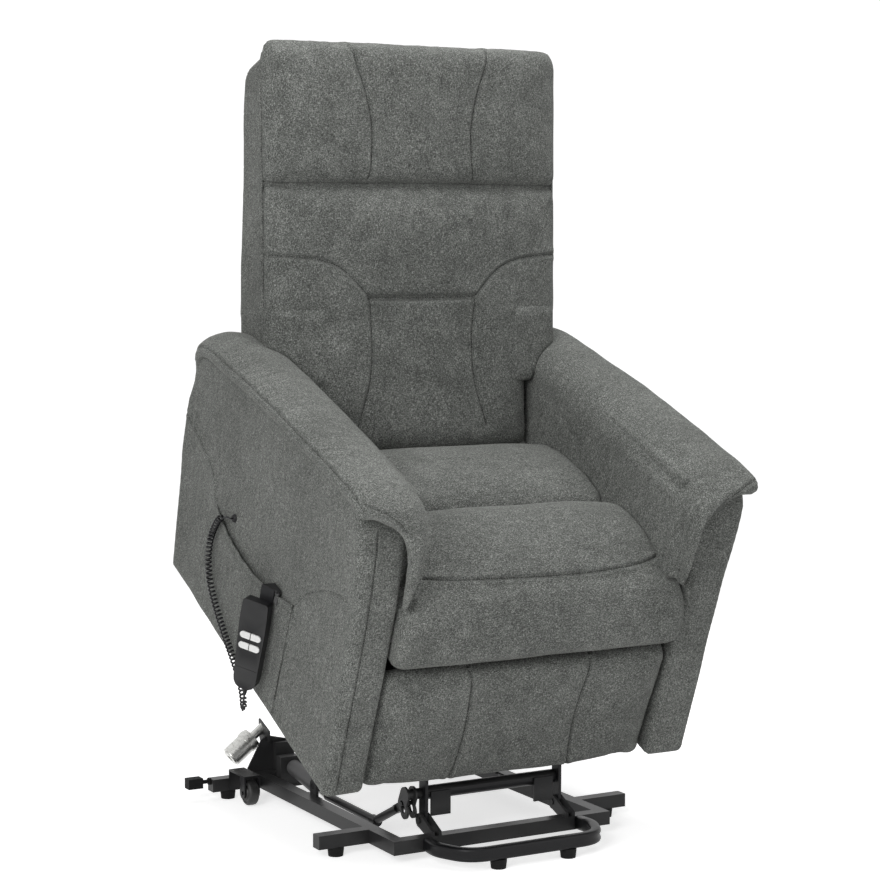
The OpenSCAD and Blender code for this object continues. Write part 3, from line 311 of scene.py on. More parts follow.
def resample(points, step):
    """A smooth line through the points, its points about one step apart."""
    dense = [curve_through(points, i / 12) for i in range(12 * (len(points) - 1) + 1)]
    dense[-1] = points[-1].copy()
    line, carried = [dense[0]], 0.0
    for a, b in zip(dense, dense[1:]):
        piece = (b - a).length
        while piece and carried + piece >= step:
            a = a.lerp(b, (step - carried) / piece)
            piece = (b - a).length
            line.append(a.copy())
            carried = 0.0
        carried += piece
    if carried > step * 0.3:
        line.append(dense[-1])
    return line


PER_CURL, CURLS, COIL_R, COIL_FROM = 14, 54, 5.2, 20.0
TAIL, SWELL, WIRE_D = 44, 12, 0.0036
coil_x = -(POCKET_FACE + 5.5 + 1)
cord_end = remote(-REMOTE_T / 2, 0, -REMOTE_LEN - 12)
end_dir = Vector((0, math.sin(REMOTE_LEAN), math.cos(REMOTE_LEAN)))
route = [Vector(p) for p in (
    (-376, 520, 244), (-381, 520.5, 244), (coil_x + 4, 527, 243), (coil_x, 544, 230),
    (coil_x, 557, 208), (coil_x, 566, 178), (coil_x, 566, 150), (coil_x, 556, 122),
    (coil_x, 536, 96), (coil_x, 506, 76), (coil_x, 470, 57), (coil_x, 430, 40),
    (coil_x, 390, 25), (coil_x, 352, 8), (coil_x - 2, 322, -8), (coil_x - 8, 298, -18),
    (cord_end.x + 1, 281, -14))] + [cord_end - end_dir * 14, cord_end - end_dir * 6, cord_end]
STEPS = 190
miles = [(0.0, 0.0)]
for i in range(1, STEPS + 1):
    t0, t1 = (i - 1) * (len(route) - 1) / STEPS, i * (len(route) - 1) / STEPS
    step = (curve_through(route, t1) - curve_through(route, t0)).length
    miles.append((miles[-1][0] + step, t1))
ROUTE_LEN = miles[-1][0]


def along(s):
    """The point of the route this far from its start."""
    s = max(0.0, min(ROUTE_LEN, s))
    for (s0, t0), (s1, t1) in zip(miles, miles[1:]):
        if s <= s1:
            return curve_through(route, t0 + (t1 - t0) * (s - s0) / (s1 - s0))
    return route[-1].copy()


coil_to = ROUTE_LEN - TAIL
wire = [along(s) for s in (0, 1.6, 3.2, 5, 7, 9, 11, 13, 15, 17.5)]
side = Vector((0, 0, 1))
for i in range(PER_CURL * CURLS + 1):
    s = COIL_FROM + (coil_to - COIL_FROM) * i / (PER_CURL * CURLS)
    d = (along(s + 1) - along(s - 1)).normalized()
    side = (side - d * side.dot(d)).normalized()
    up = d.cross(side)
    a = 2 * math.pi * i / PER_CURL
    swell = min(1.0, (s - COIL_FROM) / SWELL, (coil_to - s) / SWELL)
    wire.append(along(s) + COIL_R * max(0, swell) * (side * math.cos(a) + up * math.sin(a)))
wire += [along(ROUTE_LEN - s) for s in (41, 38, 34.5, 31, 28, 25, 22, 19, 16, 13, 10.5, 8, 5.6, 3.2,
                                        1.6)]
wire.append(cord_end)
wire = [chair(*p) for p in wire]
curve = bpy.data.curves.new("curly_lead", "CURVE")
curve.dimensions = "3D"
curve.bevel_depth = WIRE_D / 2
curve.bevel_resolution = 3
curve.use_fill_caps = True
spline = curve.splines.new("POLY")
spline.points.add(len(wire) - 1)
for point, p in zip(spline.points, wire):
    point.co = (*p, 1)
curve.materials.append(CORD)
lead = bpy.data.objects.new("curly_lead", curve)
scene.collection.objects.link(lead)
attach(lead, "chair")
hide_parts("curly_cord")


# ---- Mesh helpers ----
def add_mesh(name, verts, faces, material, smooth=True):
    data = bpy.data.meshes.new(name)
    data.from_pydata([tuple(v) for v in verts], [], faces)
    data.validate()
    data.update()
    data.materials.append(material)
    if smooth:
        data.shade_smooth()
    made = bpy.data.objects.new(name, data)
    scene.collection.objects.link(made)
    return made


def ring_faces(count, n, start=0):
    """Quads between neighbouring rings of n points each."""
    return [(start + i * n + j, start + i * n + (j + 1) % n,
             start + (i + 1) * n + (j + 1) % n, start + (i + 1) * n + j)
            for i in range(count - 1) for j in range(n)]


def skin(rings, offset=0):
    """Closed skin over rings of points, with a fan at each end."""
    n = len(rings[0])
    verts = [p for r in rings for p in r]
    verts += [sum(r, Vector()) / n for r in (rings[0], rings[-1])]
    end = len(rings) * n + offset
    top = end - n
    faces = ring_faces(len(rings), n, offset)
    faces += [(offset + (j + 1) % n, offset + j, end) for j in range(n)]
    faces += [(top + j, top + (j + 1) % n, end + 1) for j in range(n)]
    return verts, faces


def join_skins(groups):
    verts, faces = [], []
    for rings in groups:
        v, f = skin(rings, len(verts))
        verts += v
        faces += f
    return verts, faces


def take_shape(obj):
    """Applies the object's modifiers."""
    graph = bpy.context.evaluated_depsgraph_get()
    data = bpy.data.meshes.new_from_object(obj.evaluated_get(graph))
    obj.modifiers.clear()
    old, obj.data = obj.data, data
    bpy.data.meshes.remove(old)
    obj.data.shade_smooth()


def outward(obj):
    """Turns the faces outwards."""
    work = bmesh.new()
    work.from_mesh(obj.data)
    bmesh.ops.recalc_face_normals(work, faces=work.faces)
    work.to_mesh(obj.data)
    work.free()


def soft_form(name, groups, material, voxel, smooth):
    """Several overlapping skins become one even, rounded mesh."""
    verts, faces = join_skins(groups)
    made = add_mesh(name, verts, faces, material)
    outward(made)
    mod = made.modifiers.new("even", "REMESH")
    mod.mode = "VOXEL"
    mod.voxel_size = voxel / 1000
    mod.adaptivity = 0
    mod = made.modifiers.new("round", "SMOOTH")
    mod.factor = 0.5
    mod.iterations = smooth
    take_shape(made)
    return made


CLOTH_SETTINGS = {"quality": 4, "mass": 0.3, "use_pressure": True, "uniform_pressure_force": 4.0,
                  "tension_stiffness": 15, "compression_stiffness": 15, "shear_stiffness": 5,
                  "bending_stiffness": 0.5}
BLOW_FRAMES = 14


def inflate(obj, cap, held):
    """Cloth blown up from inside by at most cap; held(point) says what stays, from 0 to 1."""
    rest = [v.co.copy() for v in obj.data.vertices]
    mod = obj.modifiers.new("cloth", "CLOTH")
    for key, value in CLOTH_SETTINGS.items():
        setattr(mod.settings, key, value)
    mod.settings.effector_weights.gravity = 0
    mod.collision_settings.use_collision = False
    mod.collision_settings.use_self_collision = False
    mod.point_cache.frame_start = 1
    mod.point_cache.frame_end = BLOW_FRAMES
    group = obj.vertex_groups.new(name="held")
    for i, p in enumerate(rest):
        weight = held(p)
        if weight > 0:
            group.add([i], min(1.0, weight), "REPLACE")
    mod.settings.vertex_group_mass = "held"
    for f in range(1, BLOW_FRAMES + 1):
        scene.frame_set(f)
    graph = bpy.context.evaluated_depsgraph_get()
    blown = obj.evaluated_get(graph).data
    moved = [v.co.copy() for v in blown.vertices]
    obj.modifiers.clear()
    obj.vertex_groups.clear()
    scene.frame_set(1)
    for v, a, b in zip(obj.data.vertices, rest, moved):
        d = b - a
        if d.length > cap / 1000:
            d = d.normalized() * cap / 1000
        v.co = a + d
    obj.data.update()


def tree_of(obj):
    data = obj.data
    return BVHTree.FromPolygons([v.co for v in data.vertices],
                                [tuple(p.vertices) for p in data.polygons])


def seams_kd(lines):
    """Finds the nearest point of the lines."""
    points = [p for line in lines for p, _ in line]
    kd = KDTree(len(points))
    for i, p in enumerate(points):
        kd.insert(p, i)
    kd.balance()
    return kd


def lay_on(tree, points, way, reach=0.09):
    """The points dropped onto a surface along a direction, with the surface's normals."""
    line = []
    for p in points:
        hit, normal, _, _ = tree.ray_cast(p - way * reach, way, reach * 3)
        if hit is not None:
            line.append((hit, normal if normal.dot(way) < 0 else -normal))
    return line


def refine(obj, lines, reach=11.0, finest=2.4):
    """Splits the edges near the lines until they are short."""
    kd = seams_kd(lines)
    work = bmesh.new()
    work.from_mesh(obj.data)
    for turn in range(2):
        near = {v for v in work.verts
                if kd.find(v.co)[2] < reach / 1000 * (1.3 - 0.4 * turn)}
        edges = [e for e in work.edges if e.verts[0] in near and e.verts[1] in near
                 and e.calc_length() > finest / 1000]
        if not edges:
            break
        bmesh.ops.subdivide_edges(work, edges=edges, cuts=1, use_grid_fill=True)
    bmesh.ops.triangulate(work, faces=[f for f in work.faces if len(f.verts) > 4])
    work.to_mesh(obj.data)
    work.free()
    obj.data.shade_smooth()


def push(obj, swell):
    """Moves each point along its normal by swell(point)."""
    normals = [v.normal.copy() for v in obj.data.vertices]
    for v, n in zip(obj.data.vertices, normals):
        v.co += n * (swell(v.co) / 1000)
    obj.data.update()


def carve(obj, lines, depth, width, plump, reach=52.0):
    """A sewn valley along each line, with the padding plump beside it."""
    kd = seams_kd(lines)

    def swell(p):
        d = kd.find(p)[2] * 1000
        if d >= reach:
            return 0.0
        return (plump * math.exp(-((d - width * 2.2) / (width * 1.6)) ** 2)
                - depth * math.exp(-(d / width) ** 2))

    push(obj, swell)


def ripple(obj, size, amount, seed):
    """Soft unevenness of the padding."""
    shift = Vector((seed, seed * 0.7, -seed))
    push(obj, lambda p: amount * (noise.noise(p / (size / 1000) + shift)
                                  + 0.5 * noise.noise(p / (size / 2200) - shift)))


def beside(tree, line, off):
    """The line moved sideways by off along the surface."""
    row = []
    for i, (p, n) in enumerate(line):
        a, b = line[max(0, i - 1)][0], line[min(len(line) - 1, i + 1)][0]
        across = (b - a).cross(n)
        if across.length == 0:
            continue
        q = p + across.normalized() * (off / 1000)
        hit, normal, _, _ = tree.ray_cast(q + n * 0.012, -n, 0.03)
        if hit is not None:
            row.append((hit, normal if normal.dot(n) > 0 else -normal))
    return row


def dash(at, s, length, radius, lift):
    """One dash of thread or of painted shade: five rings along the row, its ends sunk, or nothing
    where it kinks.
    """
    parts = []
    for k, r, h in ((0, 0.35, -0.5), (0.18, 1, 0.35), (0.5, 1.05, 0.6), (0.82, 1, 0.35),
                    (1, 0.35, -0.5)):
        p, n = at(s + length / 1000 * k)
        parts.append((p + n * ((lift + h * radius) / 1000), n, r * radius / 1000))
    t = parts[-1][0] - parts[0][0]
    if not 1e-5 < t.length < length / 600:
        return []
    t.normalize()
    turns = [2 * math.pi * q / 5 for q in range(5)]
    return [p + (t.cross(n).normalized() * math.cos(a) + n * math.sin(a)) * r
            for p, n, r in parts for a in turns]


DASH_FACES = ring_faces(5, 5) + [(4, 3, 2, 1, 0), (20, 21, 22, 23, 24)]


def stitches(name, tree, lines, body, offsets=(-2.8, 2.8), pitch=7.5, length=5.2, radius=0.42,
             material=THREAD, lift=0.15):
    """Rows of dashes laid on a surface beside each line: thread, or painted shade in a valley's
    bottom.
    """
    verts, faces = [], []
    for row in [beside(tree, line, off) for line in lines for off in offsets]:
        if len(row) < 3:
            continue
        run = [0.0]
        for (a, _), (b, _) in zip(row, row[1:]):
            run.append(run[-1] + (b - a).length)

        def at(s):
            for i in range(1, len(run)):
                if s <= run[i]:
                    k = (s - run[i - 1]) / max(1e-9, run[i] - run[i - 1])
                    return (row[i - 1][0].lerp(row[i][0], k), row[i - 1][1].lerp(row[i][1], k))
            return row[-1]

        s = pitch / 2000
        while s + length / 1000 < run[-1]:
            made = dash(at, s, length, radius, lift)
            if made:
                faces += [tuple(len(verts) + i for i in face) for face in DASH_FACES]
                verts += made
            s += pitch / 1000
    if verts:
        finish_piece(add_mesh(name, verts, faces, material), body)


def seam_line(place, points, way, tree, step=4.0):
    """A line in a local frame, smoothed and laid on a surface along a local direction."""
    line = resample([place(*p) for p in points], step / 1000)
    return lay_on(tree, line, heading(place, *way))


def seam_lines(obj, place, paths, way):
    tree = tree_of(obj)
    return [seam_line(place, path, way, tree) for path in paths]


def both_sides(*paths):
    """Each path followed by its mirror image."""
    return [side for path in paths for side in (path, [(-x, y, z) for x, y, z in path])]


def sew(obj, name, body, lines, valley, offsets, **thread):
    """Valley (depth, width, plumpness) along the seams, painted shade in its bottom, and its
    thread.
    """
    refine(obj, lines)
    carve(obj, lines, *valley)
    tree = tree_of(obj)
    # painted shade: near-black dashes in the valley bottoms
    stitches(name + "_shade", tree, lines, body, **SHADE)
    stitches(name + "_threads", tree, lines, body, offsets=offsets, **thread)


def finish_piece(obj, body, nodes=()):
    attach(obj, body)
    if nodes:
        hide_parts(*nodes)


def tube(name, points, radius, material, body, sides):
    """A round bar along a line of points in the row frame."""
    verts = []
    last = len(points) - 1
    up = (points[1] - points[0]).normalized().orthogonal().normalized()
    for i, p in enumerate(points):
        t = (points[min(last, i + 1)] - points[max(0, i - 1)]).normalized()
        up = (up - t * up.dot(t)).normalized()
        side = t.cross(up)
        for q in range(sides):
            c = 2 * math.pi * q / sides
            verts.append(p + (up * math.cos(c) + side * math.sin(c)) * radius / 1000)
    faces = ring_faces(len(points), sides)
    faces += [tuple(range(sides))[::-1], tuple(range(last * sides, (last + 1) * sides))]
    finish_piece(add_mesh(name, verts, faces, material), body)


def rounded(corners, steps=5):
    """Corners (a, b, radius) to a smooth closed outline."""
    out = []
    n = len(corners)
    for i, (x, y, r) in enumerate(corners):
        b = Vector((x, y))
        a, c = Vector(corners[i - 1][:2]), Vector(corners[(i + 1) % n][:2])
        p = b + (a - b).normalized() * min(r, (a - b).length * 0.48)
        q = b + (c - b).normalized() * min(r, (c - b).length * 0.48)
        for k in range(steps + 1):
            t = k / steps
            out.append((1 - t) ** 2 * p + 2 * t * (1 - t) * b + t * t * q)
    return out


def inset(outline, d):
    """The outline drawn in by d."""
    if not d:
        return [p.copy() for p in outline]
    n = len(outline)
    area = sum(outline[i - 1].cross(outline[i]) for i in range(n))
    sign = 1 if area > 0 else -1
    out = []
    for i, p in enumerate(outline):
        t = outline[(i + 1) % n] - outline[i - 1]
        if t.length < 1e-6:
            t = outline[(i + 2) % n] - outline[i - 2]
        t.normalize()
        out.append(p + Vector((-t.y, t.x)) * d * sign)
    return out


def slab(place, outline, x0, x1, edge):
    """Rings of an outline pulled across from x0 to x1, its edges rounded."""
    left = [(x0 + edge * (1 - math.cos(math.pi / 2 * k)), edge * (1 - math.sin(math.pi / 2 * k)))
            for k in (0, 0.3, 0.6, 0.85, 1)]
    right = [(x0 + x1 - x, d) for x, d in reversed(left)]
    return [[place(x, p.x, p.y) for p in inset(outline, d)] for x, d in left + right]


# Painted shade: near-black dashes laid in the bottom of each sewn valley
SHADE = {"offsets": (0,), "pitch": 5.0, "length": 4.9, "radius": 0.55, "material": SEAM_PAINTED_SHADE,
         "lift": 0.0}
FINE = {"pitch": 6.5, "length": 4.4, "radius": 0.34}


# ---- Arms ----
# Crest line of the arm cover from rear to front: depth, height, inner side,
# outer side, thickness, drop of the outer edge
PAD_PATH = [
    (806, 352, 256, 366, 16, 4), (802, 408, 255, 374, 24, 8), (790, 455, 254, 388, 30, 11),
    (764, 492, 253, 395, 33, 13), (715, 515, 253, 399, 34, 13), (640, 529, 253, 401, 34, 12),
    (560, 538, 253, 402, 34, 10), (420, 548, 253, 402, 34, 3), (280, 556, 254, 402, 34, 1),
    (160, 562, 256, 402, 34, 0), (80, 565, 260, 402, 34, -1), (30, 554, 263, 399, 36, -2),
    (18, 541, 265, 364, 35, -2), (9, 524, 267, 334, 33, -1), (3, 500, 270, 317, 30, 0),
    (0, 458, 274, 305, 26, 0), (6, 405, 279, 298, 19, 0), (15, 362, 284, 292, 10, 0)]
PAD_LAST = len(PAD_PATH) - 1

# The right cover is drawn closer to the arm's inner face as it turns down
RIGHT_TURN = {11: (260, 391), 12: (256, 330), 13: (255, 292), 14: (254, 272), 15: (255, 268),
              16: (262, 274), 17: (268, 277)}


def pad_station(t, side=-1):
    """Crest line (depth, height, edge drop), outward direction, (inner, outer, thickness)."""
    uv = [Vector((p[0], p[1], p[5])) for p in PAD_PATH]
    dims = [Vector(p[2:5]) for p in PAD_PATH]
    if side > 0:
        for i, d in enumerate(dims):
            d.y -= 8 if 4 < i < 11 else 0
            d.x, d.y = RIGHT_TURN.get(i, (d.x, d.y))
    p = curve_through(uv, t)
    a, b = curve_through(uv, max(0, t - 0.25)), curve_through(uv, min(PAD_LAST, t + 0.25))
    d = Vector((b.x - a.x, b.y - a.y, 0)).normalized()
    return p, Vector((d.y, -d.x, 0)), curve_through(dims, t)


def pad_section(x0, x1, t, e):
    """Round the cover: (x, depth under the crest line), with a sewn strip down its outer edge."""
    q, m = min(1.0, t / 34), min(1.0, (x1 - x0) / 128)
    inner = [(0, 66), (0, 52), (1.5, 42), (4, 33), (9, 23), (17, 13), (28, 5), (42, -1)]
    top = [(0.44, -5.5), (0.60, -8.0)]
    outer = [(38, -7.5 + 0.25 * e), (24, -6 + 0.5 * e), (13, -3.5 + 0.8 * e), (6, e), (3.5, 4 + e),
             (1.2, 8 + e), (-0.8, 13 + e), (-1.8, 18 + e), (-1.2, 22 + e), (3, 25 + e),
             (12, 25.5 + e), (34, 28 + e)]
    return ([(x0 + x * m, d * q) for x, d in inner]
            + [(x0 + (x1 - x0) * k, d * q) for k, d in top]
            + [(x1 - x * m, d * q) for x, d in outer])


def outwards(side):
    """The chair frame with x counted from the middle towards one side."""
    return lambda x, u, w: chair(side * x, u, w)


def arm_rings(side):
    rings = []
    for i in range(PAD_LAST * 4 + 1):
        p, out, (x0, x1, t) = pad_station(i / 4, side)
        rings.append([chair(side * x, p.x - out.x * d, p.y - out.y * d)
                      for x, d in pad_section(x0, x1, t, p.z)])
    return rings


def pad_under(depth):
    """The crest line sunk by depth, from the rear to where the cover turns down."""
    line = []
    for i in range(2, 21):
        p, out, _ = pad_station(i / 2)
        line.append((p.x - out.x * depth, p.y - out.y * depth))
    return line


def outline_of(points):
    return [Vector(p) for p in points]


# Side views (depth, height): the cover's inner face, the boxed side, its padded
# front, and the thickening behind the right arm's front
INNER = outline_of([(66, 236), (768, 236), (768, 330)] + pad_under(48)
                   + [(54, 484), (44, 444), (38, 405), (34, 374), (60, 345)])
FLANK = outline_of([(76, -6), (600, -6), (655, -2), (750, -2), (798, 231), (808, 340)]
                   + pad_under(15) + [(76, 546)])
FACING = outline_of([(1, -5), (14, 172), (27, 345), (33, 400), (42, 460), (50, 500), (60, 518),
                     (78, 534), (110, 540), (110, -5)])
UPPER = outline_of([(70, 350), (52, 372), (42, 395), (38, 425), (45, 460), (54, 500), (64, 516),
                    (80, 531), (110, 536), (110, 350)])
ARM_IN, ARM_OUT = 262, 372
# Seams of the side (depth, height on its outer face)
REAR_CURVE = [(800, 312), (740, 303), (687, 291), (655, 280), (634, 268), (618, 247), (608, 226)]
ARCH = [(240, 234), (216, 268), (183, 301), (141, 330), (100, 349), (62, 360)]
POCKET_SIDE = [(240, 234), (232, 205), (236, 128), (236, 63), (232, 8)]
# Seams in (x, depth, height), x away from the chair's middle
CORNER = [(350, 50, 500), (349, 42, 460), (348, 33, 400), (347, 28, 350), (347, 22, 280),
          (347, 14, 180), (347, 8, 90), (347, 2, 8)]
TURN = {-1: [(396, 44, 561), (376, 30, 558), (354, 20, 549), (336, 14, 537), (324, 8, 520)],
        1: [(388, 44, 561), (362, 34, 558), (334, 24, 548), (306, 16, 536), (284, 10, 520)]}
MITRE = [(398, 44, 561), (401, 42, 552), (402, 42, 540)]


def arm_forms(name, side):
    """The cover that wraps over the arm and down its inner face, and the boxed side."""
    mirrored = outwards(side)
    right = side > 0
    wrap = soft_form("arm_cover_" + name, [
        arm_rings(side), slab(mirrored, INNER, 252, 282 if right else 266, 4)], CLOTH, 5.0, 5)
    ripple(wrap, 110, 2.0, side * 3.0)
    slabs = [slab(mirrored, FLANK, ARM_IN, ARM_OUT, 9),
             slab(mirrored, FACING, 293.5, ARM_OUT + (5 if right else 0), 9)]
    if right:
        slabs.append(slab(chair, UPPER, 276, 330, 7))
    box = soft_form("arm_side_" + name, slabs, CLOTH, 5.5, 3)
    for v in box.data.vertices:
        x, u, w = local(v.co)
        k = smooth01((abs(x) - 350) / 20) * smooth01((w - 330) / 190)
        v.co += heading(chair, side, 0, 0) * (0.013 * k)
    ripple(box, 150, 1.6, side * 7.0)
    return wrap, box


def sew_side(name, side, box):
    mirrored = outwards(side)
    paths = [REAR_CURVE, ARCH] + ([POCKET_SIDE] if side < 0 else [])
    plain = seam_lines(box, mirrored, [[(ARM_OUT, u, w) for u, w in path] for path in paths],
                       (-side, 0, 0))
    corner = seam_lines(box, mirrored, [CORNER], (0, 1, 0)) if side < 0 else []
    refine(box, plain + corner)
    carve(box, plain + corner, 3.4, 2.6, 0.9)
    tree = tree_of(box)
    # painted shade: near-black dashes in the seam valley bottoms
    stitches("arm_seam_shade_" + name, tree, plain + corner, "chair", **SHADE)
    stitches("arm_seam_threads_" + name, tree, plain, "chair", offsets=(-3.0,), **FINE)
    stitches("arm_front_threads_" + name, tree, corner, "chair", offsets=(-3.4, 3.4))
    finish_piece(box, "chair", ("arm_" + name, "arm_facings"))


def sew_cover(name, side, wrap):
    """A strip along the outer edge of the cover, turned across its front."""
    mirrored = outwards(side)
    edge = []
    for i in range(2 * 4, 11 * 4 + 1):
        p, out, (x0, x1, t) = pad_station(i / 4, side)
        edge.append((x1 - 2, p.x - out.x * (5.5 + p.z), p.y - out.y * (5.5 + p.z)))
    tree = tree_of(wrap)
    strip = seam_line(mirrored, edge, (-side, 0, 0), tree)
    turn = seam_line(mirrored, TURN[side], (0, 0.9, -0.43), tree)
    mitre = seam_line(mirrored, MITRE, (-side * 0.7, 0.7, 0), tree, 2.0)
    refine(wrap, [strip, turn, mitre], 12)
    carve(wrap, [strip, turn], 3.2, 2.6, 1.0)
    carve(wrap, [mitre], 1.6, 2.0, 0.3)
    tree = tree_of(wrap)
    # painted shade: near-black dashes in the seam valley bottoms
    stitches("arm_cover_shade_" + name, tree, [strip, turn], "chair", **SHADE)
    stitches("arm_cover_threads_" + name, tree, [strip], "chair", offsets=(-2.9, 2.9))
    stitches("arm_turn_threads_" + name, tree, [turn], "chair", offsets=(-2.9,))
    finish_piece(wrap, "chair", ("arm_pad_" + name,))


SIDES = (("left", -1), ("right", 1))
arms = [(name, side, *arm_forms(name, side)) for name, side in SIDES]
for name, side, wrap, box in arms:
    sew_side(name, side, box)
    sew_cover(name, side, wrap)


# ---- Seat ----
def across_rings(corners, half, low, drop, draw, extra=None):
    """A side view's outline carried across the chair, lower and shorter towards its ends."""
    outline = rounded(corners)
    mid = (min(p.x for p in outline) + max(p.x for p in outline)) / 2
    rings = []
    for i in range(13):
        t = math.sin(math.pi / 2 * (-1 + 2 * i / 12))
        sink, pull = 1 - drop * abs(t) ** 4, 1 - draw * abs(t) ** 8
        rings.append([chair((half + (extra(p.x) if extra else 0)) * t, mid + (p.x - mid) * pull,
                            low + (p.y - low) * sink) for p in outline])
    return rings


def seat_held(p):
    x, u, w = local(p)
    return 1.0 if w < 326 or abs(x) > 245 else clamp01((270 - u) / 12)


seat = soft_form("seat_cushion_cover", [across_rings([
    (265, 318, 10), (265, 394, 24), (322, 416, 50), (430, 410, 50), (500, 392, 40), (528, 364, 24),
    (528, 318, 14)], 250, 317, 0.10, 0.02)], CLOTH, 7, 6)
inflate(seat, 18.0, seat_held)
ripple(seat, 120, 1.5, 2.0)
finish_piece(seat, "chair", ("seat_cushion",))


def flare(u):
    """The roll widens ahead of the arms."""
    return 41 * smooth01((98 - u) / 46)


def roll_held(p):
    x, u, w = local(p)
    held = u > 244 or (u > 56 and w < 330) or w < 250 or abs(x) > 287
    return 1.0 if held or (abs(x) > 245 and u > 84) else 0.0


front = soft_form("seat_front_roll", [
    across_rings([(260, 318, 8), (96, 318, 14), (58, 326, 14), (48, 348, 16), (54, 372, 20),
                  (80, 400, 30), (126, 424, 44), (200, 430, 44), (260, 408, 24)],
                 250, 317, 0.10, 0.02, extra=flare),
    slab(chair, rounded([(60, 250, 8), (22, 239, 14), (-2, 250, 18), (-12, 280, 30), (-7, 318, 30),
                         (16, 350, 30), (50, 368, 16), (74, 364, 10), (74, 290, 10)]),
         -290, 290, 20)], CLOTH, 6.5, 12)
inflate(front, 10.0, roll_held)
ripple(front, 130, 1.8, 5.0)
lines = seam_lines(front, chair, [
    [(-270, 80, 396), (-250, 76, 388), (-225, 74, 384), (-178, 70, 380), (-119, 68, 378),
     (-59, 67, 376), (12, 67, 374), (85, 67, 374), (147, 68, 377), (212, 72, 383), (250, 78, 390),
     (272, 84, 398)]], (0, 0.8, -0.6))
sew(front, "roll", "chair", lines, (4.2, 3.0, 1.0), (3.2,), **FINE)
finish_piece(front, "chair", ("front_roll", "front_apron"))


# ---- Footrest ----
def across_pad(place, half, mid, edge, side_r, back_y, gaps=44):
    """A ring across a padded panel: crowned front, rounded sides, flat rear."""
    ring = []
    for i in range(gaps + 1):
        t = -1 + 2 * i / gaps
        t = math.copysign(1 - (1 - abs(t)) ** 1.5, t)
        x = half * t
        y = edge + (mid - edge) * (1 - abs(t) ** 3.0)
        r = min(side_r, y * 0.8)
        over = abs(x) - (half - r)
        if over > 0:
            y = y - r + math.sqrt(max(0.0, r * r - over * over))
        ring.append(place(x, -max(y, 1.0)))
    ring.append(place(half - 1, back_y))
    ring.append(place(-half + 1, back_y))
    return ring


def round_end(near, r):
    """Share of the thickness left at this distance from an end of radius r."""
    if near >= r:
        return 1.0
    return math.sqrt(max(0.02, 1 - (1 - near / r) ** 2))


rings = []
low, high = -13, 225
for i in range(25):
    w = low + (high - low) * (1 - math.cos(math.pi * i / 24)) / 2
    k = round_end(min((w - low) * 1.5, high - w), 22)
    t = (w - low) / (high - low)
    rings.append(across_pad(lambda x, y, w=w: chair(x, 49 + y, w), 290 - 4 * (1 - k),
                            (46 - 9 * t) * k, 38 * k, 24, 0))
foot = soft_form("footrest_cover", [rings], CLOTH, 7, 3)
FOOT_SEAMS = both_sides([(-127, 0, 226), (-122, 0, 210), (-116, 0, 160), (-113, 0, 100),
                         (-116, 0, 50), (-121, 0, 14), (-124, 10, -6)])
INTO = (0, 1, 0)


def plump_up(obj, place, seams, cap, fast, hold, near):
    """Blows a panel up; fast(point) stays, and its seams nearly do."""
    kd = seams_kd(seam_lines(obj, place, seams, INTO))
    inflate(obj, cap, lambda p: 1.0 if fast(p) else hold if kd.find(p)[2] < near else 0.0)


plump_up(foot, chair, FOOT_SEAMS, 9.0, lambda p: local(p)[1] > 44, 0.9, 0.008)
ripple(foot, 90, 1.5, 9.0)
lines = seam_lines(foot, chair, FOOT_SEAMS, INTO)
sew(foot, "footrest", "footrest", lines, (4.4, 3.2, 1.2), (-3.2, 3.2))
finish_piece(foot, "footrest", ("footrest_pad",))


# ---- Back ----
def back_rings(low, high, width, mid, edge, low_r, high_r, n=40, side_r=30):
    """Rings up a padded panel of the back; width(s) is its half width at each height."""
    rings = []
    for i in range(n + 1):
        s = low + (high - low) * (1 - math.cos(math.pi * i / n)) / 2
        k = round_end(s - low, low_r) * round_end(high - s, high_r)
        rings.append(across_pad(lambda x, y, s=s: back(x, y, s), width(s) - 3 * (1 - k), mid * k,
                                edge * k, side_r, 0.5))
    return rings


def plump_back(obj, seams, half):
    """Holds a panel's rear and its sides beyond half."""
    def fast(p):
        x, y, s = back_local(p)
        return y > -8 or abs(x) > half

    plump_up(obj, back, seams, 17.0, fast, 0.95, 0.009)


LUMBAR = [(-313, -50, 307), (-270, -50, 305), (-221, -50, 300), (-188, -50, 291), (-160, -50, 276),
          (-135, -50, 252), (-114, -50, 229)]
DOWN = [(-113, -50, 224), (-107, -50, 149), (-111, -50, 75), (-128, -50, 15), (-140, -50, -20)]
ACROSS = [(-112, -50, 227), (0, -50, 226), (112, -50, 227)]
BACK_SEAMS = both_sides(LUMBAR, DOWN) + [ACROSS]
HEAD_SEAMS = both_sides([(-146, -50, 697), (-137, -50, 660), (-118, -50, 605), (-106, -50, 545),
                         (-107, -50, 480), (-112, -50, 446)])
CREASE_S = 437.5  # height of the crease between the cushion and the head pillow

cushion = soft_form("back_cushion_cover", [
    back_rings(-68, 200, lambda s: 243, 50, 36, 26, 10),
    back_rings(183, 437, lambda s: 311, 52, 30, 6, 20),
    back_rings(425, 450, lambda s: 306, 15, 9, 3, 3, n=8, side_r=22)], CLOTH_BACK, 7, 5)
plump_back(cushion, BACK_SEAMS, 306)
ripple(cushion, 120, 1.5, 4.0)
lines = seam_lines(cushion, back, BACK_SEAMS, INTO)
refine(cushion, lines)
carve(cushion, lines[:4], 4.6, 3.2, 1.2)
carve(cushion, lines[4:], 8.5, 5.0, 1.4)
tree = tree_of(cushion)
# painted shade: near-black dashes in the seam valley bottoms
stitches("back_shade", tree, lines, "back", **SHADE)
stitches("back_threads", tree, lines[:4], "back", offsets=(-3.4, 3.4))
stitches("lumbar_threads", tree, lines[4:], "back", offsets=(5.5,))
finish_piece(cushion, "back", ("back_cushion",))


def head_width(s):
    """The pillow's top corners are round."""
    near = min(42, 700 - s)
    return 312 - 16 * (1 - math.sqrt(max(0, 1 - (1 - near / 42) ** 2)))


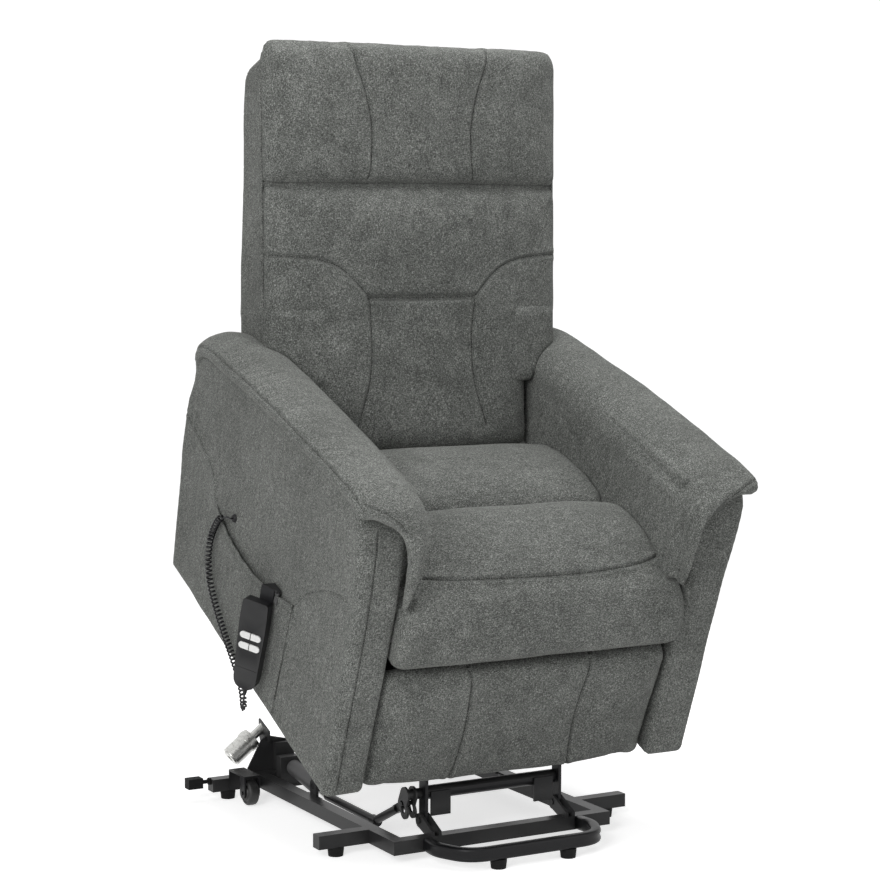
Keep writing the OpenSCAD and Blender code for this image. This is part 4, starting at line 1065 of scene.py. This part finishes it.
head = soft_form("head_pillow_cover", [back_rings(438, 701, head_width, 52, 30, 20, 30)],
                 CLOTH_BACK, 7, 4)
plump_back(head, HEAD_SEAMS, 307)
ripple(head, 110, 1.5, 6.0)
# small gathers under the top edge
for v in head.data.vertices:
    x, y, z = back_local(v.co)
    k = smooth01((z - 655) / 40) * clamp01((-6 - y) / 20)
    pull = noise.noise(Vector((x / 13, z / 90, 3.1)))
    pull += 0.5 * noise.noise(Vector((x / 6, z / 60, 9.4)))
    v.co += heading(back, 0, -1, 0.5) * (0.0030 * k * pull)
head.data.update()
lines = seam_lines(head, back, HEAD_SEAMS, INTO)
sew(head, "head", "back", lines, (4.8, 3.2, 1.4), (-3.4, 3.4))
finish_piece(head, "back", ("head_pillow",))


# The shell behind the cushions
def shell_t(s):
    """The shell's thickness, less towards the top."""
    return 125 - 52 * s / 703


def shell_slab(half, low):
    outline = rounded([(1, low, 4), (shell_t(low), low, 12), (shell_t(648), 648, 30),
                       (1, 672, 8)])
    return slab(back, outline, -half, half, 8)


shell = soft_form("back_shell_cover", [shell_slab(243, -20), shell_slab(309, 182)], CLOTH_BACK,
                  6.5, 3)
ripple(shell, 160, 1.6, 8.0)
lines = seam_lines(shell, back, both_sides([(-262, 140, 190), (-262, 140, 400), (-258, 130, 640)])
                   + [[(-300, 140, 420), (0, 140, 420), (300, 140, 420)]], (0, -1, 0))
refine(shell, lines)
carve(shell, lines, 2.6, 2.8, 0.6)
stitches("shell_threads", tree_of(shell), lines, "back", offsets=(-3.2, 3.2))
finish_piece(shell, "back", ("back_shell",))

# Welt between the cushions and the shell, and the sewn end of the head pillow's crease
WELT = ((309, 160), (311, 200), (311.5, 260), (311.5, 420), (311.5, 560), (311, 640), (306, 672),
        (292, 690), (268, 697))
for name, side in SIDES:
    line = resample([back(side * x, -4, s) for x, s in WELT], 0.006)
    tube("back_welt_" + name, line, 3.0, CLOTH_BACK, "back", 10)
    tube("head_crease_end_" + name, [back(side * x, 0.5, CREASE_S) for x in (282, 290, 300, 309)],
         5.5, CLOTH_BACK, "back", 10)


# Soft corners of the back that rest on the arms
def between(table, at):
    """Straight-line value from a table of (place, value)."""
    for (a, va), (b, vb) in zip(table, table[1:]):
        if at <= b:
            return va + (vb - va) * clamp01((at - a) / (b - a))
    return table[-1][1]


# Top of the arm cover as the back sees it, and how far it falls off inwards
REST = [(-95, 106), (-60, 118), (-19, 133), (20, 145), (55, 153), (109, 153)]
FALL = [(250, 62), (254, 48), (258, 35), (263, 25), (271, 14), (282, 6), (300, 0)]
GUSSET_TOP, GUSSET_IN = 206, 204
ACROSS_FRONT = [206, 212, 220, 228, 236, 244, 252, 260, 268, 276, 284, 291, 297, 302]
ROUND_REAR = [(292, 106), (264, 106), (244, 100), (236, 60), (206, 10)]
back_trees = (tree_of(cushion), tree_of(shell))


def front_of(x, s):
    """How far forward the cushion reaches there."""
    hit = back_trees[0].ray_cast(back(x, -140, s), heading(back, 0, 1, 0))[0]
    return back_local(hit)[1] if hit is not None else 0.0


def side_of(side, y):
    """How far out the cushion or the shell reaches there, at the corner's top."""
    found = [tree.ray_cast(back(side * 380, y, GUSSET_TOP), heading(back, -side, 0, 0))[0]
             for tree in back_trees]
    return max([abs(back_local(h)[0]) for h in found if h is not None] + [300]) + 0.4


def corner_ring(side, crown, flanks, drop):
    """A ring of the corner: drop is its share of the height, or millimetres above one."""
    level = 110 + (GUSSET_TOP - 110) * (0.03 if drop > 1 else drop)
    shift = front_of(side * GUSSET_IN, level) - front_of(side * GUSSET_IN, GUSSET_TOP)
    profile = [(198, front_of(side * 198, level) + 4)]
    profile += [(x, y + shift * (1 - smooth01((x - GUSSET_IN) / 90))) for x, y in crown]
    ring = []
    for x, y in profile + flanks + ROUND_REAR:
        low = between(REST, y) - between(FALL, x)
        z = low + (drop if drop > 1 else (GUSSET_TOP - low) * drop)
        tuck = 3.0 if drop == 0 else 0.0
        ring.append(back(side * (x - tuck), y + (tuck if y < -12 else 0), z))
    return ring


for name, side in SIDES:
    crown = [(x, front_of(side * x, GUSSET_TOP) - 0.6) for x in ACROSS_FRONT]
    flanks = [(side_of(side, y), y) for y in range(-13, 100, 8)]
    verts, faces = skin([corner_ring(side, crown, flanks, drop)
                         for drop in (0, 4, 0.15, 0.32, 0.5, 0.66, 0.83, 1.0)])
    corner = add_mesh("back_corner_" + name, verts, faces, CLOTH_BACK)
    outward(corner)
    finish_piece(corner, "back")
    heading(back, 0, 0, 1)
    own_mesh(corner)


# ---- Front loop ----
def loop_section(groove, count=28):
    """Rounded oblong tube, pinched along its sides where it is bent."""
    ring = []
    for k in range(count):
        a = 2 * math.pi * k / count
        x = math.copysign(abs(math.cos(a)) ** 0.5, math.cos(a)) * 10
        z = math.copysign(abs(math.sin(a)) ** 0.5, math.sin(a)) * 12.4
        ring.append((x - math.copysign(groove * math.exp(-(z / 3.6) ** 2), x), z))
    return ring


LOOP_Z = 29.5
loop_line = rounded([(-158, 4, 1), (-162, -40, 16), (-132, -105, 38), (132, -105, 38),
                     (162, -40, 16), (158, 4, 1)], 12)
rings = []
for i, p in enumerate(loop_line):
    a, b = loop_line[max(0, i - 1)], loop_line[min(len(loop_line) - 1, i + 1)]
    d = Vector((b.x - a.x, b.y - a.y)).normalized()
    bent = smooth01((abs(p.x) - 84) / 30) * smooth01((-26 - p.y) / 20)
    rings.append([base(p.x + d.y * x, p.y - d.x * x, LOOP_Z + z)
                  for x, z in loop_section(0.5 + 2.4 * bent)])
verts, faces = skin(rings)
loop = add_mesh("front_loop_tube", verts, faces, STEEL)
outward(loop)
finish_piece(loop, "base", ("front_loop",))


# ---- Pocket and rear cloth ----
def cloth_sheet(name, grid, thick, material):
    """A thin closed panel over a grid of (outer point, outward direction)."""
    rows, cols = len(grid), len(grid[0])
    verts = [p for row in grid for p, _ in row]
    verts += [p - n * thick / 1000 for row in grid for p, n in row]
    count = rows * cols
    faces = []
    for i in range(rows - 1):
        for j in range(cols - 1):
            a = i * cols + j
            faces.append((a, a + 1, a + cols + 1, a + cols))
            faces.append((count + a + cols, count + a + cols + 1, count + a + 1, count + a))
    for j in range(cols - 1):
        a, b = j, (rows - 1) * cols + j
        faces.append((a + 1, a, count + a, count + a + 1))
        faces.append((b, b + 1, count + b + 1, count + b))
    for i in range(rows - 1):
        a, b = i * cols, i * cols + cols - 1
        faces.append((a, a + cols, count + a + cols, count + a))
        faces.append((b + cols, b, count + b, count + b + cols))
    made = add_mesh(name, verts, faces, material)
    outward(made)
    return made


def grid_of(rows, cols, spot):
    """A grid of spot(share across, share along)."""
    return [[spot(j / cols, i / rows) for j in range(cols + 1)] for i in range(rows + 1)]


# The pocket: sewn down both sides and at the foot, its mouth gapes towards the rear.
# The mouth's line (depth, height), and its folds: place, width, depth, slant
MOUTH = [(242, 234), (291, 221), (338, 212), (390, 204), (450, 202), (515, 206), (560, 214),
         (600, 226)]
FOLDS = ((0.16, 0.030, 1.6, 0.10), (0.25, 0.026, 2.0, 0.12), (0.36, 0.034, 1.8, 0.14),
         (0.50, 0.04, 1.0, 0.12), (0.09, 0.02, 1.2, 0.04))
POCKET_FOOT, POCKET_OUT, GAPE = 6, 374.0, 8.6


def pocket_spot(k, t):
    """Outer point and direction, k from the rear edge to the front, t from foot to mouth."""
    rear, front = 598 - 20 * (1 - t), 236 + 4 * t
    u = rear + (front - rear) * k
    w = POCKET_FOOT + (between(MOUTH, u) - POCKET_FOOT) * t
    gape = (math.sin(math.pi * k) ** 0.6) * (t ** 1.3)
    fold = 0.0
    for at, wide, deep, slant in FOLDS:
        c = at + slant * (1 - t)
        fold += deep * math.exp(-((k - c) / wide) ** 2) * max(0, (t - 0.25) / 0.75)
    x = POCKET_OUT + GAPE * gape - fold * 0.8 * min(1, gape * 3)
    return chair(-x, u, w), heading(chair, -1, 0, 0)


grid = grid_of(52, 90, pocket_spot)
pocket = cloth_sheet("side_pocket_cloth", grid, 1.6, CLOTH)
finish_piece(pocket, "chair", ("side_pocket",))
tree = tree_of(pocket)
mouth = lay_on(tree, resample([p for p, _ in grid[-2]], 0.004), heading(chair, 1, 0, 0))
stitches("pocket_mouth_threads", tree, [mouth], "chair", offsets=(5.0, 9.0), **FINE)
# rolled hem along the mouth
hem = [p + heading(chair, 1, 0, 0) * 0.0008 for p, _ in grid[-1]]
tube("pocket_hem", resample(hem, 0.006), 1.9, CLOTH, "chair", 8)


# The rear valance below the shell
def valance_spot(k, t):
    x = -251 + 502 * k
    wave = 1.2 * noise.noise(Vector((x / 70, t * 2.0, 3.1))) - 1.4
    return chair(x, 737 + 45 * t + wave, 6 + 220 * t), heading(chair, 0, 1, -0.2)


valance = cloth_sheet("rear_valance_cloth", grid_of(26, 60, valance_spot), 4.0, CLOTH)
finish_piece(valance, "chair", ("rear_skirt",))


def bridge(name, spot, rows):
    """A cloth panel from the chair to the back, between two (depth, height) ends."""
    made = cloth_sheet(name, grid_of(rows, 48, spot), 2.0, CLOTH)
    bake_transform(made)
    return made


# Cloth that closes the gap between the valance and the back's lower edge
FLAP_LOW, FLAP_TOP = (774, 224), (704, 328)


def flap_spot(k, t):
    x = -238 + 476 * k
    u, w = (low + (top - low) * t for low, top in zip(FLAP_LOW, FLAP_TOP))
    sag = 3.0 * math.sin(math.pi * t) + 0.8 * noise.noise(Vector((x / 60, t * 3.0, 7.7)))
    return chair(x, u + sag, w + sag * 0.6), heading(chair, 0, 0.83, 0.56)


flap = bridge("rear_flap_cloth", flap_spot, 14)

# Cloth in the crease, from the rear of the seat down under the back cushion
CREASE_TOP = Vector((505, 366))
CREASE_END = Vector(local(back(0, -14, -52))[1:])


def crease_spot(k, t):
    x = -240 + 480 * k
    p = CREASE_TOP.lerp(CREASE_END, t)
    sag = -9 * math.sin(math.pi * t) + 0.8 * noise.noise(Vector((x / 50, t * 3.0, 1.7)))
    return chair(x, p.x, p.y + sag), heading(chair, 0, -0.1, 1)


crease = bridge("seat_crease_cloth", crease_spot, 12)


# ---- Floor, light ----
def seen_rays(tree):
    """One where the camera, a mirror or a glass looks, nought for the light itself."""
    rays = node(tree, "ShaderNodeLightPath").outputs
    seen = blend_math(tree, "MAXIMUM", rays["Is Camera Ray"], rays["Is Glossy Ray"])
    return blend_math(tree, "MAXIMUM", seen, rays["Is Transmission Ray"])


FLOOR_R = 3.5  # m, so its rim stays white against the world
floor_mat, tree, shader = blank("floor_white", 0.95, spec=0.0)
feed(tree, shader, {"Base Color": (0.93, 0.93, 0.93, 1), "Emission Color": (1, 1, 1, 1),
                    "Emission Strength": blend_math(tree, "MULTIPLY", seen_rays(tree), 0.66)})
disc = [(FLOOR_R * math.cos(math.radians(a)), FLOOR_R * math.sin(math.radians(a)), 0)
        for a in range(0, 360, 4)]
floor = add_mesh("floor", disc, [tuple(range(len(disc)))], floor_mat, False)
world = bpy.data.worlds.new("studio")
world.use_nodes = True
scene.world = world
tree = world.node_tree
feed(tree, tree.nodes["Background"], {
    "Color": (1, 1, 1, 1), "Strength": map_range(tree, seen_rays(tree), 0, 1, 0.27, 1.06)})
scene.view_settings.view_transform = "Standard"


def lamp(name, place, target, size, power):
    made = bpy.data.objects.new(name, bpy.data.lights.new(name, "AREA"))
    made.data.shape = "RECTANGLE"
    made.data.size, made.data.size_y = size
    made.data.energy = power
    made.location = place
    made.rotation_euler = (Vector(target) - Vector(place)).to_track_quat("-Z", "Y").to_euler()
    scene.collection.objects.link(made)


lamp("key", (-2.9, -2.3, 1.9), (0, 0, 0.6), (1.6, 1.6), 66)
lamp("fill", (2.4, -3.2, 1.6), (0, 0, 0.6), (2.0, 2.0), 13)
lamp("top", (0.2, -0.1, 3.4), (0, 0, 0.5), (2.0, 2.0), 62)
